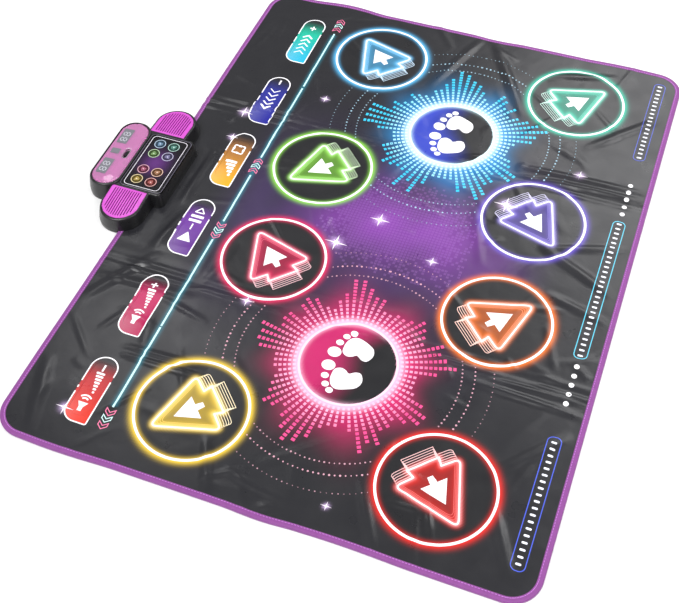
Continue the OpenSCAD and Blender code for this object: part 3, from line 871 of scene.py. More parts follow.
def icon_ink(node):
    """A button's generic pictogram, drawn about its centre: a speaker with bars, play and pause, steps and a
    four-way cross, or chevrons, and a minus or plus sign."""
    centre = middle(node)
    white = linear(WHITE_INK)

    def line(points, width=3.2, closed=False):
        """A white line."""
        path = resampled(np.asarray(points, float) + centre, 3, closed)
        return stroke(path, width, closed), white, 1

    def fill(points, eye=None):
        """A white shape, filled from its middle or from a point that sees all its rim."""
        outline = np.asarray(points, float) + centre
        return plate(resampled(outline, 5, True), outline.mean(0) if eye is None else centre + eye, 2), white, 1

    if node.startswith("volume"):
        yield fill([(-28, 9), (-37, 3.6), (-45, 3.6), (-45, -3.6), (-37, -3.6), (-28, -9)], (-34, 0))
        for k, r in enumerate((7, 12.5)):
            yield line(facing(np.linspace(-48, 48, 9 + 2 * k)) * r + [-27, 0], 2.8)
        bars = 4 + 1.9 * np.arange(7)
        for k, height in enumerate(bars):
            yield fill(rounded([-6 + 6.2 * k, (height - bars[-1]) / 2], 3.9, height, 1.2, 3))
    if node == "start_pause_button":
        yield fill(filleted([(-14, 0), (-37, 13.5), (-37, -13.5)], [2, 2, 2], 4))
        yield line([(-8, 0), (6, 0)], 2.6)
        for x in (14, 25):
            yield fill(rounded([x, 0], 6, 25, 1.4, 4))
        yield line(filleted([(35, -9), (47, 0), (35, 9)], [1.5, 1.5, 1.5], 4), 2.4, True)
    if node == "level_button":
        for k in range(5):
            height = 5 + 4.6 * k
            yield fill(rounded([-42 + 8.6 * k, (height - 23.4) / 2], 6, height, 1, 3))
        ends = [(p[0] * 0.86 + 27, p[1] * 0.86) for p in facing(np.arange(45, 405, 90)) * 17]
        yield line(filleted(ends, [3] * 4, 5), 2.8, True)
        for angle in (0, 90, 180, 270):
            yield fill(turned(np.array([(13, 0), (7.5, 3.4), (7.5, -3.4)], float), angle) + [27, 0])
    if node.startswith("speed"):
        way = 1 if node == "speed_up_button" else -1
        order = np.array([(-5, 10.5), (3.5, 0), (-5, -10.5)]) * [way, 1]
        for k in range(5):
            yield line(order[::way] + [-38 + 13.0 * k, 0], 3.6 - 0.5 * ((k if way < 0 else 4 - k) * 0.8))
    if not node.startswith(("start", "level")):
        yield line([(36, 0), (49, 0)], 3.2)
        if "up" in node:
            yield (*line([(42.5, -6.5), (42.5, 6.5)], 3.2)[:2], 2)


INK_TOP = 0.28  # how far the lowest ink stands above the sheet
LEVEL_STEP = 0.1  # height of one level of ink over the next
INK_FOOT = 0.24  # how far the ink's underside is set into the sheet


def inked(entries):
    """Closed films of ink that follow the sheet's relief, and the colour of each of their points."""
    solids, colours = [], []
    for patch, colour, level in entries:
        points = patch[0]
        laid = draped(np.column_stack([points, np.full(len(points), SHEET_TOP)]))
        solid, faces = thick(patch, 0, 0)
        n = len(points)
        solid[:n], solid[n:] = laid, laid
        solid[:n, 2] += INK_TOP + LEVEL_STEP * level
        solid[n:, 2] -= INK_FOOT
        solids.append((solid, faces))
        colours.append(np.tile(np.broadcast_to(colour, (n, 3)), (2, 1)))
    return together(solids), np.concatenate(colours)


def halved(patch, side):
    """The faces of a patch whose middle is on one side of X = 0, as a patch with rims of its own, and which of
    the points it keeps. The rims are the edges that no two faces share."""
    points, faces, _ = patch
    kept = [f[points[f].mean(1)[:, 0] * side > 0] for f in faces]
    kept = [f for f in kept if len(f)]
    if not kept:
        return None, None
    used = np.unique(np.concatenate([f.ravel() for f in kept]))
    renumber = np.full(len(points), -1)
    renumber[used] = np.arange(len(used))
    kept = [renumber[f] for f in kept]
    pairs = np.concatenate([np.stack([f, np.roll(f, -1, 1)], -1).reshape(-1, 2) for f in kept])
    keys = pairs[:, 0] * len(points) + pairs[:, 1]
    back = pairs[:, 1] * len(points) + pairs[:, 0]
    return (points[used], kept, pairs[~np.isin(keys, back)]), used


# Materials


MIX_A, MIX_B, MIX_RESULT = 6, 7, 2  # the colour sockets of a Mix node
WAVE = np.pi / 10  # a wave node's crests are this far apart at a scale of 1


def add(tree, kind, inputs=None, **settings):
    """Adds one shader node with its settings. inputs maps a socket to a value or to another node's output."""
    made = tree.nodes.new("ShaderNode" + kind)
    for name, value in settings.items():
        setattr(made, name, value)
    for socket, value in (inputs or {}).items():
        if isinstance(value, bpy.types.NodeSocket):
            tree.links.new(value, made.inputs[socket])
        else:
            made.inputs[socket].default_value = value
    return made


def finish(name, **sockets):
    """A new material with one Principled shader: the node tree, the shader and its coordinates in mm."""
    material = bpy.data.materials.new(name)
    material.use_nodes = True
    tree = material.node_tree
    tree.nodes.clear()
    shader = add(tree, "BsdfPrincipled", {key.replace("_", " "): value for key, value in sockets.items()})
    add(tree, "OutputMaterial", {"Surface": shader.outputs[0]})
    where = add(tree, "TexCoord").outputs["Object"]
    millimetres = add(tree, "Mapping", {"Vector": where, "Scale": (1000, 1000, 1000)}).outputs[0]
    return material, tree, shader, millimetres


def varied(tree, shader, millimetres, colour, size, amount):
    """Makes the base colour, a socket or three numbers, drift by a share, up and down, in patches of a size in
    mm."""
    noise = add(tree, "TexNoise", {"Vector": millimetres, "Scale": 1 / size, "Detail": 3.0})
    level = add(tree, "MapRange", {"Value": noise.outputs[0], "To Min": 1 - amount, "To Max": 1 + amount})
    grey = add(tree, "CombineColor", {0: level.outputs[0], 1: level.outputs[0], 2: level.outputs[0]})
    base = colour if isinstance(colour, bpy.types.NodeSocket) else (*colour, 1.0)
    drift = mixed(tree, 1.0, base, grey.outputs[0], "MULTIPLY")
    tree.links.new(drift, shader.inputs["Base Color"])


def mixed(tree, share, first, second, blend="MIX"):
    """The colour of two, mixed by a share."""
    inputs = {"Factor": share, MIX_A: first, MIX_B: second}
    return add(tree, "Mix", inputs, data_type="RGBA", blend_type=blend).outputs[MIX_RESULT]


def bumped(tree, shader, height, depth, under=None):
    """Adds relief of a depth in mm from a height socket."""
    inputs = {"Height": height, "Strength": 1.0, "Distance": depth / 1000}
    if under is not None:
        inputs["Normal"] = under
    bump = add(tree, "Bump", inputs)
    tree.links.new(bump.outputs[0], shader.inputs["Normal"])
    return bump.outputs[0]


def roughened(tree, shader, millimetres, low, high, size):
    """Lets the roughness drift between two values in patches of a size in mm, as handling marks do."""
    noise = add(tree, "TexNoise", {"Vector": millimetres, "Scale": 1 / size, "Detail": 4.0})
    level = add(
        tree, "MapRange", {"Value": noise.outputs[0], "From Min": 0.3, "From Max": 0.7, "To Min": low, "To Max": high}
    )
    tree.links.new(level.outputs[0], shader.inputs["Roughness"])


def screen_printed_pvc():
    """Soft PVC film, calendered and screen printed under a satin clear coat: a smooth plastic sheen with a fine
    leathery grain. The ink's colour comes from the mesh. The grain is drawn at 1.6 mm, coarser than the real
    0.5 mm, so that it shows."""
    material, tree, shader, mm = finish("screen_printed_pvc", IOR=1.46, Coat_Weight=0.1, Coat_Roughness=0.14)
    ink = add(tree, "Attribute", attribute_name="print").outputs["Color"]
    varied(tree, shader, mm, ink, 60, 0.07)
    roughened(tree, shader, mm, 0.27, 0.37, 45)
    grain = add(tree, "TexVoronoi", {"Vector": mm, "Scale": 1 / 1.6}, feature="SMOOTH_F1")
    soft = add(tree, "TexNoise", {"Vector": mm, "Scale": 1 / 30, "Detail": 2.0, "Roughness": 0.45})
    under = bumped(tree, shader, soft.outputs[0], 0.7)
    bumped(tree, shader, grain.outputs["Distance"], 0.015, under)
    return material


def woven_polyester():
    """Woven polyester tape, folded and sewn over the edge: a plain weave with a soft sheen. The threads are drawn
    2.76 mm apart, coarser than the real 0.6 mm, so that they show."""
    material, tree, shader, mm = finish("woven_polyester", Roughness=0.62, Sheen_Weight=0.35, Sheen_Roughness=0.4)
    varied(tree, shader, mm, tuple(look("mat_look").binding), 9, 0.14)
    thread = {"Vector": mm, "Scale": WAVE / 2.762, "Distortion": 0.6}
    warp, weft = (add(tree, "TexWave", thread, bands_direction=way).outputs[1] for way in "XY")
    weave = add(tree, "Math", {0: warp, 1: weft}, operation="MULTIPLY")
    bumped(tree, shader, weave.outputs[0], 0.12)
    return material


def sewing_thread():
    """Twisted polyester thread in the tape's own colour, a little lighter, with a fine twist."""
    material, tree, shader, mm = finish("sewing_thread", Roughness=0.5, Sheen_Weight=0.3)
    varied(tree, shader, mm, tuple(linear("#C27AD2")), 3, 0.2)
    twist = add(tree, "TexWave", {"Vector": mm, "Scale": 0.35}, bands_direction="DIAGONAL")
    bumped(tree, shader, twist.outputs[1], 0.08)
    return material


def dotted_cloth():
    """Polyester cloth printed underneath with rows of soft PVC dots, 6 mm apart, for grip."""
    material, tree, shader, mm = finish("dotted_cloth", Roughness=0.85)
    varied(tree, shader, mm, tuple(linear("#39393D")), 14, 0.15)
    dots = add(tree, "TexVoronoi", {"Vector": mm, "Scale": 1 / 6, "Randomness": 0.0})
    raised = add(tree, "MapRange", {"Value": dots.outputs["Distance"], "From Min": 0.38, "From Max": 0.24})
    bumped(tree, shader, raised.outputs[0], 0.7)
    return material


def polyurethane_foam(name, colour):
    """Cut sheet of open-cell polyurethane foam: matt, with cells of about 1.5 mm open at the cut."""
    material, tree, shader, mm = finish(name, Roughness=0.95, Subsurface_Weight=0.1)
    varied(tree, shader, mm, tuple(linear(colour)), 25, 0.08)
    cells = add(tree, "TexVoronoi", {"Vector": mm, "Scale": 1 / 1.5})
    bumped(tree, shader, cells.outputs["Distance"], 0.5)
    return material


def polyester_film():
    """Clear polyester film with printed silver ink tracks 5 mm apart: glassy, with dull grey lines."""
    material, tree, shader, mm = finish("polyester_film", Roughness=0.22, IOR=1.6, Coat_Weight=0.5)
    tracks = add(tree, "TexWave", {"Vector": mm, "Scale": WAVE / 5.0265}, bands_direction="Y")
    line = add(tree, "MapRange", {"Value": tracks.outputs[1], "From Min": 0.8, "From Max": 0.86})
    varied(tree, shader, mm, mixed(tree, line.outputs[0], rgba("#B9C2BE"), rgba("#7E8488")), 30, 0.06)
    return material


def moulded_plastic(name, colour, rough, grain=0.05, size=0.9, coat=0.0):
    """Injection-moulded ABS from a spark-eroded tool: satin, with a fine even grain and faint handling marks. The
    grain is drawn at 0.9 mm, coarser than the real 0.2 mm, so that it shows."""
    material, tree, shader, mm = finish(name, IOR=1.52, Coat_Weight=coat, Coat_Roughness=0.12)
    varied(tree, shader, mm, tuple(colour), 22, 0.1)
    roughened(tree, shader, mm, rough - 0.05, rough + 0.07, 13)
    texture = add(tree, "TexNoise", {"Vector": mm, "Scale": 1 / size, "Detail": 2.0})
    bumped(tree, shader, texture.outputs[0], grain)
    return material


def tinted_acrylic():
    """Moulded acrylic tinted magenta and polished: it lets the display show through and mirrors the lights."""
    material, tree, shader, mm = finish(
        "tinted_acrylic", Roughness=0.06, IOR=1.49, Transmission_Weight=0.6, Coat_Weight=0.3, Coat_Roughness=0.04
    )
    varied(tree, shader, mm, tuple(look("box_look").window), 40, 0.06)
    ripple = add(tree, "TexNoise", {"Vector": mm, "Scale": 1 / 30})
    bumped(tree, shader, ripple.outputs[0], 0.15)
    return material


def printed_acrylic():
    """Acrylic panel printed on its back and polished in front: deep colour under a hard gloss."""
    material, tree, shader, mm = finish("printed_acrylic", IOR=1.4, Coat_Weight=0.2, Coat_Roughness=0.05)
    ink = add(tree, "Attribute", attribute_name="print").outputs["Color"]
    varied(tree, shader, mm, ink, 20, 0.06)
    roughened(tree, shader, mm, 0.12, 0.2, 9)
    ripple = add(tree, "TexNoise", {"Vector": mm, "Scale": 1 / 24})
    bumped(tree, shader, ripple.outputs[0], 0.12)
    return material


def metal(name, colour, rough, brushed=0.02):
    """Plated or brushed metal: coloured mirror with fine scratches along X."""
    material, tree, shader, mm = finish(name, Metallic=1.0)
    varied(tree, shader, mm, tuple(linear(colour)), 6, 0.12)
    roughened(tree, shader, mm, rough - 0.08, rough + 0.1, 4)
    stretched = add(tree, "Mapping", {"Vector": mm, "Scale": (0.1, 3, 3)})
    scratches = add(tree, "TexNoise", {"Vector": stretched.outputs[0], "Scale": 1.0, "Detail": 3.0})
    bumped(tree, shader, scratches.outputs[0], brushed)
    return material


def glass_laminate():
    """Glass-fibre laminate under green solder mask: glossy, with a net of pale tracks."""
    material, tree, shader, mm = finish("glass_laminate", Roughness=0.35, Coat_Weight=0.4)
    greens = {"Color1": rgba("#0F5A30"), "Color2": rgba("#0C4C28"), "Mortar": rgba("#4C9A62")}
    tracks = add(tree, "TexBrick", {"Vector": mm, "Scale": 0.16, "Mortar Size": 0.03, "Bias": 0.1, **greens})
    varied(tree, shader, mm, tracks.outputs[0], 12, 0.12)
    bumped(tree, shader, tracks.outputs["Fac"], 0.05)
    return material


def soft_rubber():
    """Moulded thermoplastic rubber: matt and slightly dusty."""
    material, tree, shader, mm = finish("soft_rubber", Roughness=0.8)
    varied(tree, shader, mm, tuple(linear("#2A2A2B")), 5, 0.2)
    texture = add(tree, "TexNoise", {"Vector": mm, "Scale": 1.2, "Detail": 3.0})
    bumped(tree, shader, texture.outputs[0], 0.12)
    return material


def paper_cone():
    """Pressed paper pulp, dyed black, with a fibrous face."""
    material, tree, shader, mm = finish("paper_cone", Roughness=0.9)
    varied(tree, shader, mm, tuple(linear("#242426")), 4, 0.25)
    fibres = add(tree, "TexNoise", {"Vector": mm, "Scale": 1.6, "Detail": 6.0})
    bumped(tree, shader, fibres.outputs[0], 0.2)
    return material


def cell_sleeve():
    """Heat-shrunk PVC label round an alkaline cell: dark, with a copper-coloured band at one end."""
    material, tree, shader, mm = finish("cell_sleeve", Roughness=0.3, Coat_Weight=0.6, Metallic=0.25)
    along = add(tree, "SeparateXYZ", {0: mm}).outputs[0]
    phase = add(tree, "Math", {0: along, 1: 52.0}, operation="PINGPONG")
    band = add(tree, "MapRange", {"Value": phase.outputs[0], "From Min": 33, "From Max": 34})
    varied(tree, shader, mm, mixed(tree, band.outputs[0], rgba("#202226"), rgba("#B8743C")), 8, 0.06)
    return material


def studio_floor():
    """Painted seamless paper: pale and matt."""
    material, tree, shader, mm = finish("studio_floor", Roughness=0.9)
    varied(tree, shader, mm, tuple(look("stage_look").floor), 300, 0.01)
    return material


# The control box, whose bodies' plans are repeated from the CAD

SPLIT = 10.0  # height of the seam between the two housings
POD = {"centre": (0, 460.5), "length": 316, "width": 88, "corner": 44}
BLOCK_BODY = {"centre": (0, 450.5), "length": 162, "width": 107, "corner": 12}
DISPLAY = {"centre": (0, 520), "length": 184, "width": 72, "corner": 34}
BLOCK_TOP = span("indicator_panel")[1][2]
RIM_TOP = span("display_window")[1][2]
POD_SLOPE = 3.76  # degrees that the speaker pods' tops fall towards their ends
POD_LEVEL_X = 82.0  # where that fall begins
WALL = 2.2
SLOT = (24.0, 8.4)  # length and width of the slide switch's slot
SLOT_AT = (0.0, 508.0)
PANEL_R = 9.0
DISPLAY_Y = 531.0  # middle of the score displays

# A housing's wall, from its foot up: share of its height, drop below the top, share of the draft, and the
# rounded edge's step inwards
WALL_STEPS = ((0, 0, 0, 0), (0.12, 0, 0.04, 0), (0.45, 0, 0.4, 0), (1, 4.0, 0.95, 0), (1, 2.2, 1, 0.3),
              (1, 1.1, 1, 0.9), (1, 0.35, 1, 1.9), (1, 0, 1, 3.2))  # fmt: skip


def pod_top(x):
    """Height of the speaker pods' tops: level beside the block and then falling evenly to each end."""
    return BLOCK_TOP - np.maximum(np.abs(x) - POD_LEVEL_X, 0) * np.tan(np.radians(POD_SLOPE))


def paired_outline(body, shrink, count=88):
    """A round-cornered plan in mirrored pairs of points about its long axis, evenly spaced along its rim."""
    reach = np.array([body["length"], body["width"]]) / 2 - shrink
    corner = min(body["corner"] - 0.9 * shrink, reach[1])
    arc = reach - corner + corner * facing(np.linspace(0, 90, 24))
    rim = np.concatenate([[(reach[0], 0)], arc, (arc * [-1, 1])[::-1], [(-reach[0], 0)]])
    travel = np.concatenate([[0], np.cumsum(np.linalg.norm(np.diff(rim, axis=0), axis=1))])
    at = (np.arange(count) + 0.5) / count * travel[-1]
    half = np.column_stack([np.interp(at, travel, rim[:, 0]), np.interp(at, travel, rim[:, 1])])
    return np.concatenate([half, (half * [1, -1])[::-1]]) + body["centre"]


def drafted(body, top, inset=0.0, low=SPLIT):
    """Stacked outlines of one housing body, from its foot to its top: each is the plan's outline shrunk by the
    wall's lean at that height, and the top follows a height function of X."""
    levels = []
    for share, drop, lean, step in WALL_STEPS:
        outline = paired_outline(body, inset + look("box_look").draft * lean + step)
        z = low + share * (top(outline[:, 0]) - low) - drop
        levels.append(np.column_stack([outline, z]))
    return np.array(levels)


def prism(outline, low, high):
    """An upright prism of an outline, as a tool for cutting an opening."""
    return piece("tool", thick(plate(outline), low, high), shared("moulded_abs"))


def grille_outline(side, inset=0.0):
    """A D with its flat side to the block: straight there and half round at the end of the pod."""
    low, high = span(f"speaker_grille_{SIDES[side]}")
    size = high - low
    end = size[1] / 2 - inset
    radii = [end, 3, 3, end] if side > 0 else [3, end, end, 3]
    return rounded((low[:2] + high[:2]) / 2, size[0] - 2 * inset, 2 * end, radii, 20)


def rounded_edge(depth, radius):
    """How far a quarter-round edge drops at a depth inside its outline: r - sqrt(r^2 - (r - depth)^2)."""
    short = radius - np.clip(depth, 0, radius)
    return radius - np.sqrt(radius**2 - short**2)


def lattice(low, high, step):
    """Points of a square grid over a rectangle."""
    x, y = np.meshgrid(np.arange(low[0], high[0], step), np.arange(low[1], high[1], step))
    return np.column_stack([x.ravel(), y.ravel()])


def half_outline(side, reach, width, corner, step):
    """Outline of one half of the mat from X = 0 outwards, counter-clockwise, with two round corners."""
    front = [reach - corner, corner - width] + corner * facing(np.linspace(-90, 0, 13))
    rear = [reach - corner, width - corner] + corner * facing(np.linspace(0, 90, 13))
    path = resampled(np.concatenate([[(0, -width)], front, rear, [(0, width)]]), step)
    return path if side > 0 else (path * [-1, 1])[::-1]


NEAR_FOLD = 18  # how far from a fold line the points are closer together


def layer_patch(side, stem, step, with_holes):
    """One half of a mat layer as a flat patch, with points twice as close beside the fold line. A layer that the
    moving zones go through has a hole for each."""
    reach, width = span(f"{stem}_right")[1][:2]
    seam_y = np.linspace(width, -width, int(2 * width / step) + 1)[1:-1] * side
    outline = half_outline(side, reach, width, MAT_CORNER - (MAT_X - reach), step)
    outline = np.concatenate([outline, np.column_stack([0 * seam_y, seam_y])])
    columns = np.arange(step, reach, step)
    near = np.arange(CREASE - NEAR_FOLD, CREASE + NEAR_FOLD + 0.1, step / 2)
    columns = np.concatenate([columns[np.abs(columns - CREASE) > NEAR_FOLD + step / 3], near])
    x, y = np.meshgrid(columns * side, np.arange(-width + step, width, step))
    holes = []
    if with_holes:
        pads, buttons = ([node for node in zones if middle(node)[0] * side > 0] for zones in (PADS, BUTTONS))
        holes += [middle(node) + (PAD_R + ZONE_GAP) * CIRCLE for node in pads]
        holes += [resampled(zone_outline(node, ZONE_GAP), step, True) for node in buttons]
    return cut_patch(outline, holes, np.column_stack([x.ravel(), y.ravel()]), step * 0.4)


def zone_outline(node, grow=0.0):
    """Outline of a button's moving zone, grown outwards."""
    low, high = span(node)
    size = (high - low)[:2] + 2 * grow
    return rounded(middle(node), *size, BUTTON_R + grow, 16)


def fold(made, side):
    """Bakes the half's place in the scene into its mesh."""
    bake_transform(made)  # fmt: skip


def recoat(material, slot, *nodes):
    """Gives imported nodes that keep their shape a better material."""
    for node in nodes:
        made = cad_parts[node]
        made.data.materials.clear()
        made.data.materials.append(shared(material))


# Operators: one for each piece or group of like pieces


class DANCE_OT_materials(bpy.types.Operator):
    """Make the materials that the pieces share"""

    bl_idname = "dance.materials"
    bl_label = "Materials"

    def execute(self, context):
        box = look("box_look")
        for make in (screen_printed_pvc, woven_polyester, sewing_thread, dotted_cloth, polyester_film,
                     tinted_acrylic, printed_acrylic, glass_laminate, soft_rubber, paper_cone,
                     cell_sleeve):  # fmt: skip
            make()
        polyurethane_foam("white_foam", "#D9D7CE")
        polyurethane_foam("grey_foam", "#B9BCC0")
        moulded_plastic("moulded_abs", box.plastic, 0.3)
        moulded_plastic("magenta_plastic", box.grille, 0.32, 0.02)
        moulded_plastic("knob_abs", linear("#161417"), 0.4)
        moulded_plastic("tray_styrene", linear("#E9E2EA"), 0.45, 0.01)
        moulded_plastic("module_abs", linear("#8E8890"), 0.5, 0.02)
        moulded_plastic("led_epoxy", linear("#E8F2F0"), 0.15, 0.01, coat=0.6)
        metal("zinc_plate", "#B9BBC0", 0.32)
        metal("spring_steel", "#C9C4B4", 0.25)
        return {"FINISHED"}


def shared(name):
    """A material made by the materials operator."""
    return bpy.data.materials[name]


# The layers under the printed sheet: material, slot, whether the moving zones go through, and whether it is foam
LAYERS = {
    "nonslip_base": ("dotted_cloth", "nonslip_cloth", False, False),
    "cushion_foam": ("white_foam", "cushion_foam", False, True),
    "lower_film": ("polyester_film", "circuit_film", False, False),
    "spacer_foam": ("grey_foam", "spacer_foam", True, True),
    "upper_film": ("polyester_film", "circuit_film", True, False),
}


class DANCE_OT_layers(bpy.types.Operator):
    """Make the non-slip base, the foams and the films under the printed sheet"""

    bl_idname = "dance.layers"
    bl_label = "Mat layers"

    def execute(self, context):
        for stem, (material, slot, with_holes, soft) in LAYERS.items():
            low, high = span(f"{stem}_right")
            for side, word in SIDES.items():
                patch = layer_patch(side, stem, LAYER_GRID, with_holes)
                points, faces = thick(patch, low[2], high[2])
                made = piece(f"{stem}_sheet_{word}", (draped(points, 0.0), faces), shared(material))
                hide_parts(f"{stem}_{word}", f"{stem}_centre")
                fold(made, side)
        return {"FINISHED"}


class DANCE_OT_printed_sheet(bpy.types.Operator):
    """Make the wrinkled, printed top sheet in two halves"""

    bl_idname = "dance.printed_sheet"
    bl_label = "Printed sheet"

    def execute(self, context):
        low, high = span("printed_sheet_right")
        for side, word in SIDES.items():
            patch = layer_patch(side, "printed_sheet", GRID, True)
            points, faces = thick(patch, low[2], high[2])
            colour = np.tile(print_colour(patch[0]), (2, 1))
            made = piece(f"printed_vinyl_{word}", (draped(points), faces), shared("screen_printed_pvc"), colour)
            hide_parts(f"printed_sheet_{word}", "printed_sheet_centre")
            fold(made, side)
            button = np.ptp(span("level_button"), axis=0) + 2 * ZONE_GAP
        return {"FINISHED"}


def moving_zone(name, node, zone, fill, ink):
    """A press zone: its slab of the printed sheet with its ink on it, riding on its own body."""
    low, high = span(node)
    points, faces = thick(zone, low[2], high[2])
    films, ink_colour = inked(ink)
    colour = np.concatenate([np.tile(fill, (2, 1)), ink_colour])
    made = piece(name, together([(draped(points), faces), films]), shared("screen_printed_pvc"), colour)
    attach(made, node)
    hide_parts(node)


class DANCE_OT_pads(bpy.types.Operator):
    """Make the eight step pads with their printed arrows"""

    bl_idname = "dance.pads"
    bl_label = "Step pads"

    def execute(self, context):
        for node in PADS:
            disc = plate(middle(node) + PAD_R * CIRCLE, middle(node), 26)
            moving_zone(node.replace("_pad", "_step_pad"), node, disc, print_colour(disc[0]), pad_ink(node))
        return {"FINISHED"}


class DANCE_OT_buttons(bpy.types.Operator):
    """Make the moving zones of the six printed buttons with their pictograms"""

    bl_idname = "dance.buttons"
    bl_label = "Printed buttons"

    def execute(self, context):
        for node in BUTTONS:
            zone = plate(resampled(zone_outline(node), GRID, True), middle(node), 10)
            name = node.replace("_button", "_printed_button")
            moving_zone(name, node, zone, button_colour(node, zone[0]), icon_ink(node))
        return {"FINISHED"}


def button_fill():
    """The fill of each button's frame round its moving zone."""
    for node in BUTTONS:
        band = collar(zone_outline(node, ZONE_GAP), frame_outline(node, 1.0), 5)
        yield band, button_colour(node, band[0]), 0


class DANCE_OT_ink(bpy.types.Operator):
    """Print the crisp lines on the two halves of the sheet"""

    bl_idname = "dance.ink"
    bl_label = "Printed lines"

    def execute(self, context):
        entries = [*button_fill(), *ring_ink(), *burst_ink(), *foot_ink(), *line_ink(), *cloud_ink()]
        for side, word in SIDES.items():
            kept = []
            for patch, colour, level in entries:
                half, used = halved(patch, side)
                if half is not None:
                    kept.append((half, np.broadcast_to(colour, (len(patch[0]), 3))[used], level))
            solid, colour = inked(kept)
            made = piece(f"printed_lines_{word}", solid, shared("screen_printed_pvc"), colour)
            fold(made, side)
        return {"FINISHED"}


# The tape's profile, folded over the edge: how far out from the mat's rim, and height
TAPE = 0.4  # thickness of the tape
TAPE_SKIN = np.array([
    (-BINDING_W, MAT_TOP - TAPE / 2), (-BINDING_W + 0.3, MAT_TOP), (-5, MAT_TOP + 0.1), (-1.7, MAT_TOP),
    (-0.5, MAT_TOP - 0.6), (0, MAT_TOP - 1.9), (0, 1.8), (-0.5, 0.6), (-1.7, 0), (-BINDING_W, 0),
    (-BINDING_W, TAPE - 0.02), (-1.6, TAPE - 0.02), (-0.8, 1.2), (-0.8, MAT_TOP - 1.3),
    (-1.6, MAT_TOP - TAPE + 0.02), (-BINDING_W, MAT_TOP - TAPE + 0.02),
])  # fmt: skip
TAPE_STEP = 2.5  # spacing of the stations along the tape, and half the stitches' spacing
STITCH = rounded([0, 0], 3.4, 0.9, 0.45, 3)
STITCH_IN = 2.2  # how far the row of stitches is inside the tape's edge


class DANCE_OT_binding(bpy.types.Operator):
    """Sew the edge binding round both halves of the mat"""

    bl_idname = "dance.binding"
    bl_label = "Edge binding"

    def execute(self, context):
        for side, word in SIDES.items():
            path = half_outline(side, MAT_X, MAT_Y, MAT_CORNER, TAPE_STEP)
            along = np.gradient(path, axis=0)
            along /= np.linalg.norm(along, axis=1, keepdims=True)
            out = np.column_stack([along[:, 1], -along[:, 0]])
            travel = np.arange(len(path)) * TAPE_STEP
            flat = path[:, None] + out[:, None] * TAPE_SKIN[None, :, :1]
            z = np.broadcast_to(TAPE_SKIN[:, 1], flat.shape[:2]).copy()
            # The seam puckers the tape's upper face, but not where the box clamps it
            pucker = 0.16 * np.sin(travel / 2.1) + 0.12 * np.sin(travel / 3.7 + side)
            free = 1 - under_box(path[:, :1], path[:, 1:], (200, 30), (400, 20))
            upper = bell((TAPE_SKIN[:, 0] + 5.5) / 6) * (TAPE_SKIN[:, 1] > MAT_TOP - 0.5)
            z += pucker[:, None] * free * upper
            share = smooth(z.ravel() / MAT_TOP)
            stations = draped(np.column_stack([flat.reshape(-1, 2), z.ravel()]), share).reshape(*flat.shape[:2], 3)
            made = piece(f"binding_tape_{word}", swept(stations), shared("woven_polyester"), crease=60)
            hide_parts(f"edge_binding_{word}", "edge_binding_centre")
            fold(made, side)
            pick = np.arange(1, len(path) - 1, 2)
            places = path[pick] - out[pick] * (BINDING_W - STITCH_IN)
            seam = stamps(places, STITCH, np.degrees(np.arctan2(along[pick, 1], along[pick, 0])))
            points, faces = thick(seam, MAT_TOP - 0.1, MAT_TOP + 0.22)
            thread = piece(f"binding_stitches_{word}", (draped(points), faces), shared("sewing_thread"))
            fold(thread, side)
        return {"FINISHED"}


class DANCE_OT_housings(bpy.types.Operator):
    """Make the top housing: three drafted bodies joined, hollowed and opened for what sits in them"""

    bl_idname = "dance.housings"
    bl_label = "Housings"

    def execute(self, context):
        abs_black = shared("moulded_abs")
        tops = ((POD, pod_top), (BLOCK_BODY, lambda x: BLOCK_TOP + 0 * x), (DISPLAY, lambda x: RIM_TOP + 0 * x))
        outer = [piece("tool", loft(drafted(body, top)), abs_black) for body, top in tops]
        inner = []
        for body, top in tops:
            sections = drafted(body, lambda x, top=top: top(x) - WALL, WALL, SPLIT - 1)
            inner.append(piece("tool", loft(sections), abs_black))
        window = np.ptp(span("display_window"), axis=0)[:2] + 0.6
        panel = np.ptp(span("indicator_panel"), axis=0)[:2] + 0.5
        openings = [(rounded(middle("display_window"), *window, window[1] / 2 - 0.1), RIM_TOP),
                    (rounded(middle("indicator_panel"), *panel, PANEL_R), BLOCK_TOP)]  # fmt: skip
        openings += [(grille_outline(side, 1.5), BLOCK_TOP) for side in SIDES]
        tools = [prism(outline, SPLIT, top + 5) for outline, top in openings]
        made = carved(outer[0], outer[1:], "UNION")
        made = carved(made, inner, "DIFFERENCE")
        made = carved(made, tools, "DIFFERENCE")
        made.name = "control_box_top"
        made.data.shade_smooth()
        made.data.set_sharp_from_angle(angle=np.radians(32))
        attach(made, ROOT)
        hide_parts("top_housing")
        recoat("moulded_abs", "black_abs", "bottom_housing")
        return {"FINISHED"}


